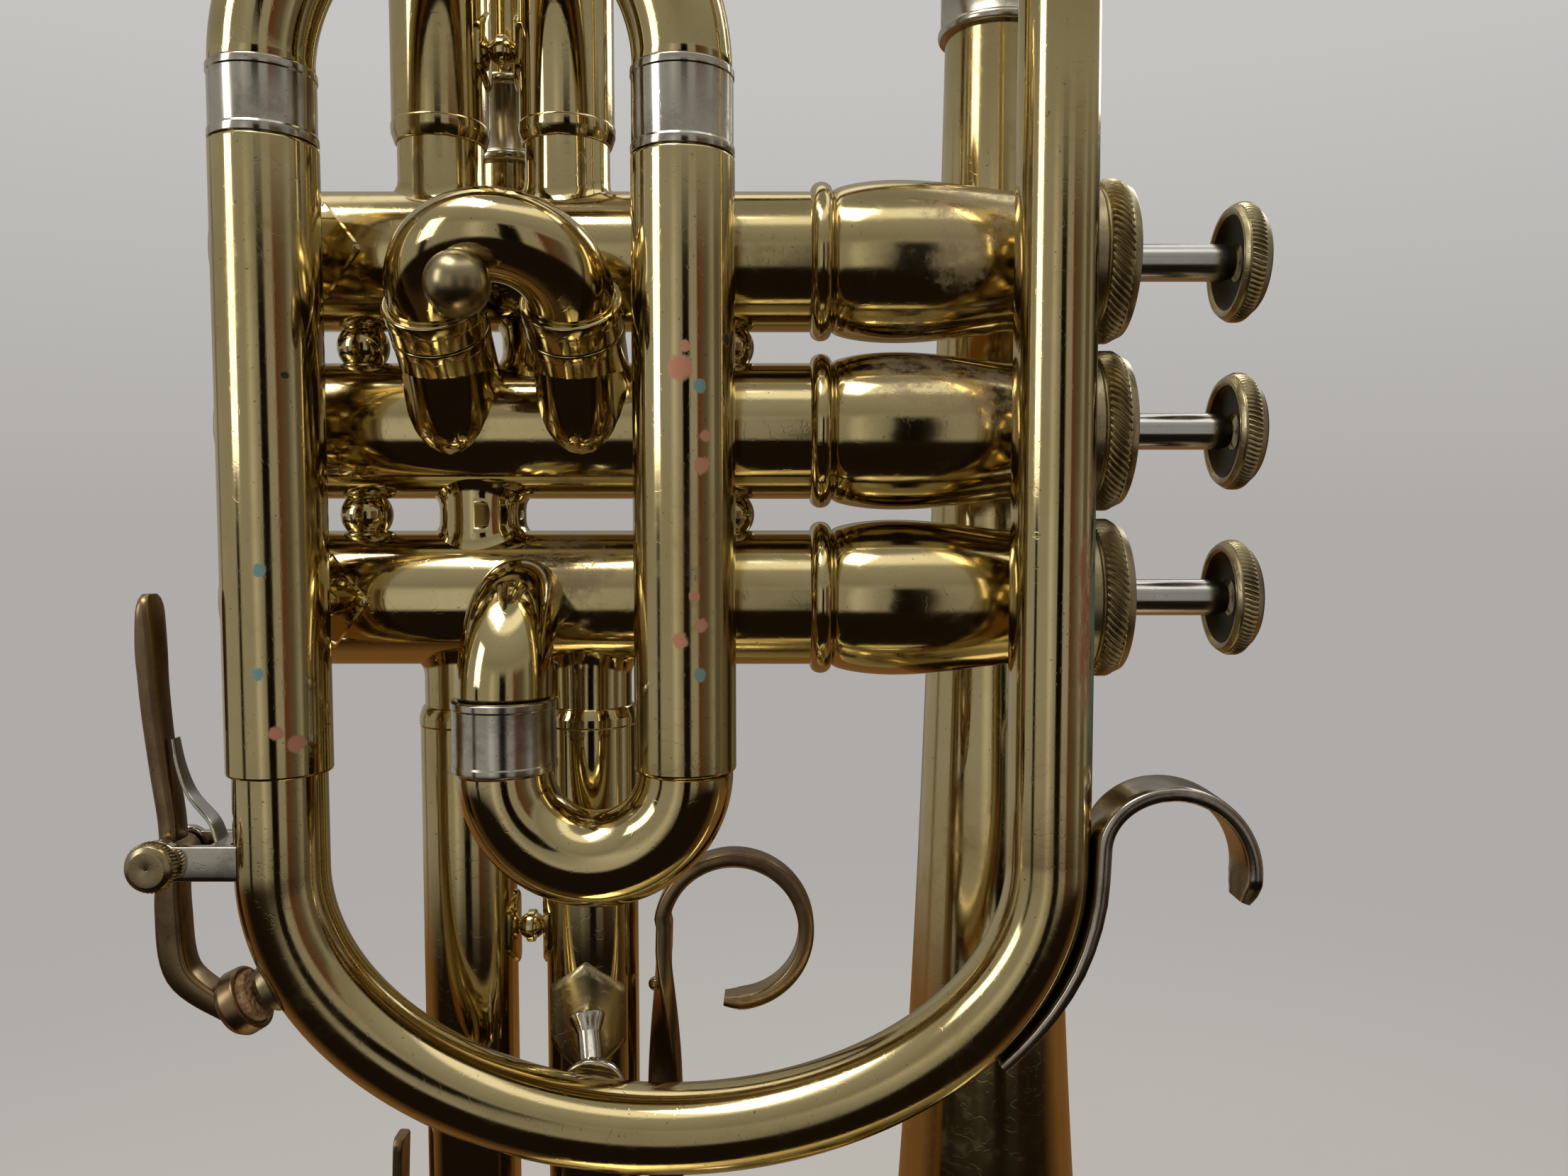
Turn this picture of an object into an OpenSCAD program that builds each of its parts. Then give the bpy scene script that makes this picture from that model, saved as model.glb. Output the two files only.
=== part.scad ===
// Three-valve bugle of the marching mellophone layout, standing on its bell.
// Origin: centre of the bell rim on the ground. +Z runs up the leadpipe towards the player,
// +X towards the finger buttons, and -Y towards the side where the tuning slide lies.

/* [Bell] */
// Diameter of the bell's mouth, inside the rim wire
bell_mouth_d = 263; // [240:1:280]
// Thickness of the rolled rim wire
rim_wire_d = 3.2; // [2:0.1:4]
// How fast the flare opens: the exponent of the horn curve
flare_power = 0.7; // [0.6:0.01:0.8]
// Height of the horn curve's pole below the rim
flare_shift = 8.2; // [7:0.1:10]
// Height where the bell tube meets its ferrule
bell_top_z = 372; // [366:1:380]
// Thickness of the bell's sheet
bell_wall = 0.7; // [0.5:0.05:1]

/* [Valves] */
// Distance between valve axes
valve_pitch = 25.6; // [25.4:0.1:27]
// Height of the middle valve's axis above the rim
valve_mid_z = 295.6; // [290:0.2:300]
// Depth of the valve axes, in front of the bell's axis
valve_y = -30; // [-32:0.5:-29]
// Outer diameter of a valve casing
casing_d = 20.7; // [20:0.1:21]
// Diameter of a casing's bore
casing_bore_d = 17.4; // [17:0.1:17.6]
// Gap around a piston, on the radius
piston_gap = 0.03; // [0.02:0.01:0.08]
// How far a button travels
valve_stroke = 15; // [12:0.5:15]
// Diameter of a valve stem
stem_d = 5.6; // [5:0.1:6]
// Diameter of a finger button
button_d = 17.9; // [16:0.1:19]

/* [Tubing] */
// Thickness of the tubes' walls
tube_wall = 0.7; // [0.5:0.1:0.8]
// Gap between an inner slide leg and its sleeve, on the radius
slide_gap = 0.05; // [0.02:0.01:0.1]
// Outer diameter of the left, wider sleeve of the tuning slide
left_sleeve_d = 14; // [13.8:0.1:14.4]
// Outer diameter of the right sleeve of the tuning slide
right_sleeve_d = 14; // [13.8:0.1:14.4]
// Distance from the rim plane to the receiver's open end
receiver_top_z = 446; // [430:1:460]
// Half the distance between the front bow's two ends
bow_half_width = 53.6; // [52:0.1:55]
// How far the front bow hangs below its ends
bow_drop = 38; // [36:0.5:40]
// Bore of the mouthpiece receiver
receiver_bore_d = 9.9; // [9:0.1:11]
// Usable depth of the receiver's bore
receiver_depth = 24; // [20:1:26]

/* [Hidden] */
$fn = 64;

// Colours
brass = "goldenrod";
old_brass = "darkkhaki";
nickel = "silver";
patina = "sienna";
steel = "gray";

// Where things stand on the valve axis (X). The leadpipe's axis is at X = 0.
casing_low_x = -118;
casing_high_x = 8.5;
bead_x = -31.9;
bead_d = 23.5;
bead_w = 3.3;
baluster_d = 23.7;
baluster_x0 = -30;
baluster_x1 = -3.5;
cap_face_x = 14.5;
button_x = 29.9;
valve_z = [for (k = [1, 0, -1]) valve_mid_z + k * valve_pitch];
casing_r = casing_d / 2;
rim_z = rim_wire_d / 2 + bell_wall / 2;
piston_r = casing_bore_d / 2 - piston_gap;

// Tubing places
left_x = -2 * bow_half_width;
right_x = -51.1;
slide_y = -51.5;
lead_y = -48;
bow_end_z = 233.5;
// Short straight where the bow meets the leadpipe
bow_lip = 0.8;
left_sleeve_z = [247.4, 332];
right_sleeve_z = [247.7, 330.4];
ferrule_top_z = 342;
tuning_bow_r = (right_x - left_x) / 2;
tuning_leg_len = 62;
small_bow_x = -76.1;
small_bow_r = (right_x - small_bow_x) / 2;
small_ferrule_top_z = 257.6;
elbow_r = valve_z[2] - small_ferrule_top_z;
crook_sleeve_d = 14.3;
crook_leg_d = crook_sleeve_d - 2 * tube_wall - 2 * slide_gap;
crook_r = 9.6;

// First valve slide, straight up
slide_1_x = -80;
slide_1_step_z = 340;
slide_1_top_z = 398;
slide_1_bow_z = 412;
// Second valve slide, forward and up
slide_2_x = -76.7;
slide_2_rise = 45;
slide_2_sleeve_end = 19.4;
slide_2_ferrule_w = 4.6;
// Outer diameter of its sleeves, a little under that of the other two slides
slide_2_sleeve_d = crook_sleeve_d - 0.5;
// X of the tubes that link valves 1 and 2, and 2 and 3
link_12_x = -74;
link_23_x = -84;
slide_2_bow_at = 24.6;
// Third valve slide, straight down
slide_3_x = -77.3;
slide_3_step_z = 251.8;
slide_3_end_z = 172;
slide_3_bow_z = 128;

// Bell tail, behind the first valve
tail_x = -84;
tail_y = -8;
tail_d = 13.6;
tail_bend_r = tail_y - valve_y - casing_r + 0.5;
tail_joint_z = 341;
rear_bow_r = norm([tail_x, tail_y]) / 2;
bell_tube_d = 18.2;
ferrule_over = 1.4;

// Water key on the front bow
key_pivot = [-122.2, 235.6];
key_axle_d = 2.4;
key_width = 6;
nipple_angle = 21;
// Water key on the third slide
key_3_pivot = [-97.5, 151];
// Finger ring
ring_centre = [-45.4, 217.6];
ring_in_r = 10.1;
ring_t = 2.6;
ring_w = 5;
strip_x = -56.4;

// ---- Functions ----

// Outer radius of the bell at height z, and how fast it changes there
function bell_r(z) = bell_mouth_d / 2 * pow(flare_shift / (z - rim_z + flare_shift), flare_power);
function bell_slope(z) = -flare_power * bell_r(z) / (z - rim_z + flare_shift);
// Heights that crowd towards the rim
function flare_z(i, n) = rim_z + (bell_top_z - rim_z) * pow(i / n, 2.2);
// A point of the sheet's inner face, one wall inside the outer face at height z
function bell_inner(z) =
    let (n = unit([1, -bell_slope(z)]))
    [bell_r(z), z] - bell_wall * n;

// A point on the front bow's centreline; a = 0 at the left end and 180 at the right end
function bow_point(a) = [
    left_x / 2 - bow_half_width * cos(a),
    slide_y + (lead_y - slide_y) * a / 180,
    bow_end_z - bow_drop * sin(a)
];
function bow_r(a) = 6.25 - 0.35 * a / 180;
// Outward normal of the bow in the XZ plane
function bow_normal(a) =
    let (n = [-cos(a) / bow_half_width, -sin(a) / bow_drop])
    n / norm(n);
// A point off the bow's centreline, in the XZ plane
function off_bow(a, d) =
    let (p = bow_point(a))
    [p[0], p[2]] + d * bow_normal(a);

// The rear bow starts with a short straight above the bell's end
rear_bow_lift = 1.5;

// A point on the rear bow's centreline; a = 0 at the bell and 180 at the tail
function rear_point(a) = [
    tail_x * (1 - cos(a)) / 2,
    tail_y * (1 - cos(a)) / 2,
    bell_top_z + rear_bow_lift + rear_bow_r * sin(a)
];

function unit(v) = v / norm(v);
// Direction of travel along a list of points, at point i
function heading(pts, i) =
    unit(pts[min(i + 1, len(pts) - 1)] - pts[max(i - 1, 0)]);
// One ring of points square to a path, for a path that stays near one upright plane
function sweep_ring(p, dir, side, r, n) =
    let (s = unit(side - (side * dir) * dir), u = cross(dir, s))
    [for (j = [0 : n - 1]) p + r * (cos(360 * j / n) * s + sin(360 * j / n) * u)];
function wall_faces(rings, n, start, flip) = [
    for (i = [0 : rings - 2], j = [0 : n - 1])
        let (
            a = start + i * n + j,
            b = start + i * n + (j + 1) % n,
            c = b + n,
            d = a + n
        )
        each (flip ? [[a, c, b], [a, d, c]] : [[a, b, c], [a, c, d]])
];

// The two sides of a strip of thickness t along a flat path
function strip_side(pts, t, way) = [
    for (i = [0 : len(pts) - 1])
        let (h = heading(pts, i))
        pts[i] + way * t / 2 * [-h[1], h[0]]
];
function reversed(v) = [for (i = [len(v) - 1 : -1 : 0]) v[i]];
// Points of a smooth curve through two ends with one control point
function curve(a, b, c, n) = [
    for (i = [0 : n])
        let (t = i / n)
        (1 - t) * (1 - t) * a + 2 * t * (1 - t) * b + t * t * c
];

// ---- Shared shapes ----

module pipe(d, h, wall = tube_wall) {
    difference() {
        cylinder(d = d, h = h);
        translate([0, 0, -1]) cylinder(d = d - 2 * wall, h = h + 2);
    }
}

// Arc of pipe about Z, starting at +X
module pipe_bend(bend_r, angle, d, wall = tube_wall) {
    rotate_extrude(angle = angle)
        translate([bend_r, 0])
            difference() {
                circle(d = d);
                circle(d = d - 2 * wall);
            }
}

// Half-circle bow standing in the XZ plane with its ends at z = 0
module half_bow(bend_r, d) {
    rotate([90, 0, 0]) pipe_bend(bend_r, 180, d);
}

// Hollow bent tube that changes diameter along its path
module swept_tube(pts, radii, side, wall, n = 16) {
    rings = len(pts);
    outer = [for (i = [0 : rings - 1]) each sweep_ring(pts[i], heading(pts, i), side, radii[i], n)];
    inner = [for (i = [0 : rings - 1]) each sweep_ring(pts[i], heading(pts, i), side, radii[i] - wall, n)];
    in0 = rings * n;
    last = (rings - 1) * n;
    ends = [
        for (j = [0 : n - 1])
            let (k = (j + 1) % n)
            each [
                [j, k, in0 + k], [j, in0 + k, in0 + j],
                [last + j, in0 + last + k, last + k], [last + j, in0 + last + j, in0 + last + k]
            ]
    ];
    polyhedron(
        points = concat(outer, inner),
        faces = concat(wall_faces(rings, n, 0, true), wall_faces(rings, n, in0, false), ends)
    );
}

// Flat strip along a path in the XZ plane, w wide along Y
module strip(pts, t, w, y) {
    translate([0, y + w / 2, 0])
        rotate([90, 0, 0])
            linear_extrude(w)
                polygon(concat(strip_side(pts, t, 1), reversed(strip_side(pts, t, -1))));
}

// Turns +Z to +X, for parts made along a valve's axis
module along_x(x, k) {
    translate([x, valve_y, valve_z[k]]) rotate([0, 90, 0]) children();
}

module casing_cores() {
    for (k = [0 : 2])
        along_x(casing_low_x - 4, k) cylinder(r = casing_r, h = 86);
}

// Tubes that end on a casing are cut to fit it
module meets_casings() {
    difference() {
        children();
        casing_cores();
    }
}

// Blank of a saddle plate on the -Y face of a tube of radius r along Z, cut by the tube later
module saddle(r, t, h, points) {
    intersection() {
        cylinder(r = r + t, h = h, center = true);
        translate([0, -r / 2, 0]) rotate([90, 0, 0]) linear_extrude(r / 2 + t + 1) polygon(points);
    }
}

function diamond(w, h) = [[-w / 2, 0], [0, -h / 2], [w / 2, 0], [0, h / 2]];
function tall_hexagon(w, h) = [
    [-w / 2, -h / 4], [0, -h / 2], [w / 2, -h / 4],
    [w / 2, h / 4], [0, h / 2], [-w / 2, h / 4]
];

// ---- Bell and its tail ----

module bell() {
    n = 34;
    heights = [for (i = [0 : n]) flare_z(i, n)];
    color(brass) {
        rotate_extrude()
            polygon(concat([for (z = heights) [bell_r(z), z]], [for (z = reversed(heights)) bell_inner(z)]));
        rotate_extrude() translate([bell_mouth_d / 2, rim_wire_d / 2]) circle(d = rim_wire_d);
    }
}

module rear_bow() {
    steps = 20;
    angles = [for (i = [0 : steps]) 180 * i / steps];
    start = [0, 0, bell_top_z + 0.1];
    straight = [for (z = [bell_top_z - 8, tail_joint_z + 10.1]) [tail_x, tail_y, z]];
    radii = [for (a = angles) (bell_tube_d + (tail_d - bell_tube_d) * a / 180) / 2];
    color(brass)
        swept_tube(
            concat([start, [0, 0, start[2] + 0.4]], [for (a = angles) rear_point(a)], straight),
            concat([bell_tube_d / 2, bell_tube_d / 2], radii, [for (p = straight) tail_d / 2]),
            [-tail_y, tail_x, 0],
            tube_wall
        );
}

module rear_bow_ferrules() {
    color(nickel) {
        translate([0, 0, bell_top_z - 6])
            difference() {
                cylinder(d = bell_tube_d + 2 * ferrule_over, h = 12);
                translate([0, 0, -1]) cylinder(d = bell_tube_d + 0.4, h = 14);
            }
        translate([tail_x, tail_y, tail_joint_z])
            difference() {
                cylinder(d = tail_d + 2 * ferrule_over, h = 14);
                translate([0, 0, -1]) cylinder(d = tail_d, h = 16);
            }
    }
}

// Short tube that turns from upright into the back of the first valve
module bell_tail() {
    bend_z = valve_z[0] + tail_bend_r;
    color(brass)
        meets_casings()
            translate([tail_x, tail_y, bend_z]) {
                pipe(tail_d, tail_joint_z + 10 - bend_z);
                translate([0, -tail_bend_r, 0]) rotate([-90, 0, 90]) pipe_bend(tail_bend_r, 90, tail_d);
            }
}

// Two struts that hold the bell to the outer valve casings
module bell_braces() {
    brace_x = -5;
    color(brass)
        difference() {
            for (k = [0, 2])
                translate([brace_x, 0, valve_z[k]])
                    rotate([90, 0, 0]) {
                        cylinder(d = 4.5, h = -valve_y);
                        cylinder(d = 9, h = 11.4);
                        translate([0, 0, 17.6]) cylinder(d = 9, h = 6);
                    }
            bell_core();
            for (k = [0, 2]) casing_body(k);
        }
}

// The bell's tube filled in, for cutting what meets it
module bell_core() {
    rotate_extrude()
        polygon([[0, 250], for (z = [250 : 8 : 346]) [bell_r(z), z], [0, 346]]);
}

// ---- Leadpipe and front bow ----

module leadpipe() {
    low_z = bow_end_z + bow_lip + 0.1;
    top_z = receiver_top_z - receiver_depth - 2;
    color(brass)
        translate([0, lead_y, 0])
            rotate_extrude()
                polygon([
                    [bow_r(180), low_z], [5.65, 350], [5.4, top_z],
                    [5.4 - tube_wall, top_z], [5.65 - tube_wall, 350], [bow_r(180) - tube_wall, low_z]
                ]);
}

// Socket for the mouthpiece's shank
module receiver() {
    low_z = receiver_top_z - receiver_depth - 12;
    floor_z = receiver_top_z - receiver_depth;
    color(nickel)
        translate([0, lead_y, 0])
            difference() {
                rotate_extrude()
                    polygon([
                        [0, low_z], [6.3, low_z], [7, floor_z], [7, receiver_top_z - 6],
                        [7.6, receiver_top_z - 5.5], [7.6, receiver_top_z], [0, receiver_top_z]
                    ]);
                translate([0, 0, low_z - 1]) cylinder(r = 5.75, h = 11.1);
                translate([0, 0, low_z]) cylinder(r = 4.3, h = receiver_depth);
                translate([0, 0, floor_z]) cylinder(d = receiver_bore_d, h = receiver_depth + 1);
            }
}

module front_bow() {
    steps = 32;
    angles = [for (i = [0 : steps]) 180 * i / steps];
    straight = [for (z = [left_sleeve_z[0] + 8, left_sleeve_z[0] - 4]) [left_x, slide_y, z]];
    color(brass)
        swept_tube(
            concat(straight, [for (a = angles) bow_point(a)], [[0, lead_y, bow_end_z + bow_lip]]),
            concat([for (p = straight) bow_r(0)], [for (a = angles) bow_r(a)], [bow_r(180)]),
            [0, 1, 0],
            tube_wall
        );
}

// ---- Tuning slide ----

module left_sleeve() {
    color(brass)
        translate([left_x, slide_y, left_sleeve_z[0]])
            pipe(left_sleeve_d, left_sleeve_z[1] - left_sleeve_z[0]);
}

module right_sleeve() {
    color(brass)
        translate([right_x, slide_y, right_sleeve_z[0]])
            pipe(right_sleeve_d, right_sleeve_z[1] - right_sleeve_z[0]);
}

module tuning_leg(x, sleeve_d, sleeve_top) {
    leg_d = sleeve_d - 2 * tube_wall - 2 * slide_gap;
    translate([x, slide_y, sleeve_top - tuning_leg_len])
        pipe(leg_d, ferrule_top_z - sleeve_top + tuning_leg_len);
}

module tuning_slide() {
    color(brass) {
        translate([(left_x + right_x) / 2, slide_y, ferrule_top_z]) half_bow(tuning_bow_r, 13.4);
        tuning_leg(left_x, left_sleeve_d, left_sleeve_z[1]);
        tuning_leg(right_x, right_sleeve_d, right_sleeve_z[1]);
    }
}

module tuning_ferrule(x, sleeve_d, low_z) {
    leg_d = sleeve_d - 2 * tube_wall - 2 * slide_gap;
    translate([x, slide_y, low_z + 0.2])
        difference() {
            cylinder(d = sleeve_d, h = ferrule_top_z - low_z - 0.2);
            translate([0, 0, -1]) cylinder(d = leg_d, h = 30);
        }
}

module tuning_ferrules() {
    color(nickel) {
        tuning_ferrule(left_x, left_sleeve_d, left_sleeve_z[1]);
        tuning_ferrule(right_x, right_sleeve_d, right_sleeve_z[1]);
    }
}

// ---- Small bow and elbow into the third valve ----

module small_bow() {
    bow_z = small_ferrule_top_z - 10;
    color(brass) {
        translate([(right_x + small_bow_x) / 2, slide_y, bow_z])
            mirror([0, 0, 1]) half_bow(small_bow_r, 13.2);
    }
}

module small_bow_ferrule() {
    color(nickel)
        translate([small_bow_x, slide_y, small_ferrule_top_z - 10])
            pipe(14.4, 10, 1.2);
}

module elbow() {
    color(brass)
        meets_casings()
            translate([small_bow_x, slide_y + elbow_r, small_ferrule_top_z])
                rotate([90, 0, -90]) pipe_bend(elbow_r, 90, 12.8);
}

// ---- Valve block ----

// Half outline of a casing's outside, turned about the valve's axis
function casing_outline() =
    let (
        steps = 18,
        swell = [
            for (i = [0 : steps])
                let (
                    f = i / steps,
                    grow = sin(180 * pow(f, 0.72)) * (baluster_d - casing_d) / 2,
                    x = baluster_x0 + f * (baluster_x1 - baluster_x0)
                )
                [casing_r + max(0, grow) + 0.25 * (1 - f), x - casing_low_x]
        ]
    )
    concat(
        [[0, 0], [casing_r, 0], [casing_r, baluster_x0 - casing_low_x - 0.5]],
        swell,
        [[casing_r, casing_high_x - casing_low_x], [0, casing_high_x - casing_low_x]]
    );

module casing_body(k) {
    along_x(casing_low_x, k) rotate_extrude() polygon(casing_outline());
}

// Holes where tubes of diameter d meet the casing: [x, turn about the valve's axis]
module port_holes(ports, d) {
    for (p = ports)
        translate([p[0], 0, 0])
            rotate([p[1], 0, 0])
                cylinder(d = d, h = casing_r + 2);
}

// Each port is [x, turn]: 0 faces up, 180 down, 90 forward, -90 back
casing_ports = [
    [[slide_1_x - crook_r, 0], [slide_1_x + crook_r, 0], [tail_x, -90], [link_12_x, 180]],
    [[slide_2_x - crook_r, 90 - slide_2_rise], [slide_2_x + crook_r, 90 - slide_2_rise],
        [link_12_x, 0], [link_23_x, 180]],
    [[slide_3_x - crook_r, 180], [slide_3_x + crook_r, 180], [small_bow_x, 90], [link_23_x, 0]]
];

module valve_casing(k) {
    color(brass)
        difference() {
            union() {
                casing_body(k);
                along_x(bead_x, k)
                    rotate_extrude()
                        translate([bead_d / 2 - bead_w / 2, 0])
                            union() {
                                circle(d = bead_w);
                                translate([-2.5, -bead_w / 2]) square([2.5, bead_w]);
                            }
            }
            along_x(casing_low_x - 1, k) cylinder(d = casing_bore_d, h = 200);
            translate([0, valve_y, valve_z[k]]) port_holes(casing_ports[k], 11);
        }
}
module valve_casing_1() { valve_casing(0); }
module valve_casing_2() { valve_casing(1); }
module valve_casing_3() { valve_casing(2); }

module top_caps() {
    color(old_brass)
        for (k = [0 : 2])
            along_x(0, k)
                rotate_extrude()
                    polygon([
                        [casing_r, 0.5], [11.2, 0.5], [11.4, 10], [12.2, 10.2], [12.2, 12.5],
                        [11.9, 12.9], [11.2, cap_face_x], [stem_d / 2 + 0.4, cap_face_x],
                        [stem_d / 2 + 0.4, 9.4], [casing_bore_d / 2, 9.4],
                        [casing_bore_d / 2, casing_high_x], [casing_r, casing_high_x]
                    ]);
}

module bottom_caps() {
    x0 = casing_low_x;
    color(old_brass)
        for (k = [0 : 2])
            along_x(0, k)
                rotate_extrude()
                    polygon([
                        [casing_r, x0 + 7], [11.3, x0 + 7], [11.3, x0 + 2], [12, x0 + 1.8],
                        [12, x0 - 1.4], [11, x0 - 2.2], [5, x0 - 3.4], [0, x0 - 3.7],
                        [0, x0 - 1.5], [casing_r, x0]
                    ]);
}

// Where things stand inside a valve, as distances along X from the casing's low end
piston_low_x = -99.5;
piston_top_x = -43.5;
barrel_top_x = 5.2;
guide_x = -41;
barrel_wall = 0.8;
slot_w = 4.2;

module valve_guides() {
    color(old_brass)
        for (k = [0 : 2])
            along_x(guide_x, k) {
                cylinder(r = piston_r - barrel_wall - 0.3, h = 1.8);
                intersection() {
                    cylinder(d = casing_bore_d, h = 1.8);
                    translate([-20, -slot_w / 2 + 0.2, 0]) cube([40, slot_w - 0.4, 1.8]);
                }
            }
}

// Piston with its crossing passages, and the slotted spring barrel above it
module piston(k) {
    slot_len = valve_stroke + 3;
    color(steel)
        difference() {
            along_x(piston_low_x, k) cylinder(r = piston_r, h = barrel_top_x - piston_low_x);
            along_x(piston_top_x, k)
                cylinder(r = piston_r - barrel_wall, h = barrel_top_x - 1.6 - piston_top_x);
            translate([guide_x - 0.6, valve_y - slot_w / 2, valve_z[k] - 20])
                cube([slot_len, slot_w, 40]);
            along_x(barrel_top_x - 3, k) cylinder(d = 3, h = 6);
            translate([0, valve_y, valve_z[k]])
                for (p = casing_ports[k])
                    translate([p[0], 0, 0]) rotate([p[1], 0, 0]) cylinder(d = 7, h = 20);
        }
}
module piston_1() { piston(0); }
module piston_2() { piston(1); }
module piston_3() { piston(2); }

// Stem with the felt's collar at its foot
module stem(k) {
    color(steel)
        along_x(barrel_top_x, k) {
            cylinder(d = 3, h = 3);
            cylinder(d = stem_d, h = button_x + 1 - barrel_top_x);
            cylinder(d = 11, h = 2.2);
        }
}
module stem_1() { stem(0); }
module stem_2() { stem(1); }
module stem_3() { stem(2); }

// Hollow-backed finger button with a seat for its pearl
module button(k) {
    r = button_d / 2;
    color(old_brass)
        along_x(button_x, k)
            rotate_extrude()
                polygon([
                    [stem_d / 2, 1], [6.4, 1], [6.7, 0], [8.1, 0], [r - 0.2, 1], [r, 1.4],
                    [r, 2.6], [r - 0.3, 3], [7.4, 4.2], [6.6, 4.6], [6.6, 3.2], [0, 3.2],
                    [0, 2.2], [stem_d / 2, 2.2]
                ]);
}
module button_1() { button(0); }
module button_2() { button(1); }
module button_3() { button(2); }

module pearl(k) {
    color("white")
        along_x(button_x + 3.2, k)
            rotate_extrude()
                polygon(concat(
                    [[0, 0], [6.55, 0]],
                    [for (a = [0 : 6]) let (f = a / 6) [6.55 * cos(90 * f), 1.2 + 0.9 * sin(90 * f)]]
                ));
}
module pearl_1() { pearl(0); }
module pearl_2() { pearl(1); }
module pearl_3() { pearl(2); }

// Helical spring between the guide and the barrel's top
module valve_spring(k) {
    turns = 9;
    per_turn = 12;
    wire_r = 0.45;
    coil_r = 6.4;
    length = barrel_top_x - 1.6 - guide_x - 1.8 - 2 * wire_r;
    pts = [
        for (i = [0 : turns * per_turn])
            let (a = 360 * i / per_turn)
            [coil_r * cos(a), coil_r * sin(a), wire_r + length * i / (turns * per_turn)]
    ];
    n = 5;
    rings = [
        for (i = [0 : len(pts) - 1])
            each sweep_ring(pts[i], heading(pts, i), [0, 0, 1], wire_r, n)
    ];
    last = (len(pts) - 1) * n;
    color(steel)
        along_x(guide_x + 1.8, k)
            polyhedron(
                points = rings,
                faces = concat(
                    wall_faces(len(pts), n, 0, true),
                    [[for (j = [0 : n - 1]) j]],
                    [[for (j = [n - 1 : -1 : 0]) last + j]]
                )
            );
}
module valve_spring_1() { valve_spring(0); }
module valve_spring_2() { valve_spring(1); }
module valve_spring_3() { valve_spring(2); }

// Tubes that carry the air from one valve to the next
module port_tubes() {
    link_d = 13;
    clearance = 0.3;
    color(brass)
        difference() {
            meets_casings()
                for (link = [[link_12_x, 0], [link_23_x, 1]])
                    translate([link[0], valve_y, valve_z[link[1] + 1]]) pipe(link_d, valve_pitch);
            along_slide_2()
                two_tubes(crook_r) cylinder(d = slide_2_sleeve_d + 2 * clearance, h = slide_2_bow_at);
        }
}

module casing_spacers() {
    color(brass)
        meets_casings()
            for (x = [-102, -46], k = [0, 1])
                translate([x, valve_y, valve_z[k] - valve_pitch / 2]) sphere(d = 8);
}

// Diamond plates and short struts between two casings and the left sleeve
module sleeve_braces() {
    color(brass)
        difference() {
            for (k = [0, 2])
                translate([-104.5, valve_y, valve_z[k]]) {
                    rotate([0, 90, 0]) saddle(casing_r, 0.8, 12.6, diamond(16, 12.6));
                    rotate([90, 0, 0]) cylinder(d = 5, h = valve_y - slide_y);
                }
            translate([left_x, slide_y, 0]) cylinder(d = left_sleeve_d, h = 400);
            casing_cores();
        }
}

// ---- Valve slides ----

module two_tubes(spread) {
    for (side = [-1, 1]) translate([side * spread, 0, 0]) children();
}

module slide_1_sleeves() {
    color(brass)
        translate([slide_1_x, valve_y, 0])
            two_tubes(crook_r) translate([0, 0, slide_1_step_z])
                pipe(crook_sleeve_d, slide_1_top_z - slide_1_step_z);
    color(brass)
        meets_casings()
            translate([slide_1_x, valve_y, valve_z[0]])
                two_tubes(crook_r) pipe(crook_leg_d, slide_1_step_z - valve_z[0]);
}

// Inner legs and bow of a valve slide, along +Z from the valve's axis
module crook(from, bow_at, d_leg, wall = tube_wall) {
    two_tubes(crook_r) translate([0, 0, from]) pipe(d_leg, bow_at - from, wall);
    translate([0, 0, bow_at]) half_bow(crook_r, d_leg);
}

module slide_1_crook() {
    leg_low = slide_1_step_z + 6;
    color(brass)
        translate([slide_1_x, valve_y, 0]) {
            crook(leg_low, slide_1_bow_z, crook_leg_d);
            two_tubes(crook_r)
                translate([0, 0, slide_1_top_z + 0.2]) pipe(crook_sleeve_d, 5, 0.75);
        }
}

// Turned brace with a ringed ball between two tubes, on two saddle plates
module ball_brace(tube_d) {
    half = crook_r - tube_d / 2;
    foot = half - 0.9;
    color(brass)
        difference() {
            rotate([0, 90, 0])
                rotate_extrude()
                    polygon([
                        [0, -half - 1.2], [3.5, -half - 1.2], [3.5, -foot], [1.3, -foot], [1.3, -1.2],
                        [2.2, -0.6], [2.2, 0.6], [1.3, 1.2], [1.3, foot], [3.5, foot],
                        [3.5, half + 1.2], [0, half + 1.2]
                    ]);
            two_tubes(crook_r) translate([0, 0, -15]) cylinder(d = tube_d, h = 30);
        }
}

module slide_1_brace() {
    translate([slide_1_x, valve_y, 352.6]) ball_brace(crook_sleeve_d);
}
module slide_3_brace() {
    translate([slide_3_x, valve_y, 218]) ball_brace(crook_sleeve_d);
}

module along_slide_2() {
    translate([slide_2_x, valve_y, valve_z[1]])
        rotate([90 - slide_2_rise, 0, 0]) children();
}

module slide_2_sleeves() {
    color(brass)
        meets_casings() along_slide_2() two_tubes(crook_r) pipe(slide_2_sleeve_d, slide_2_sleeve_end);
}

module slide_2_crook() {
    band_d = slide_2_sleeve_d + 0.2;
    leg_d = slide_2_sleeve_d - 2 * tube_wall - 2 * slide_gap;
    color(brass)
        along_slide_2() {
            crook(casing_r + 1, slide_2_bow_at, leg_d);
            two_tubes(crook_r)
                translate([0, 0, slide_2_sleeve_end + 0.2])
                    pipe(band_d, slide_2_ferrule_w, (band_d - leg_d) / 2);
        }
}

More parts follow.
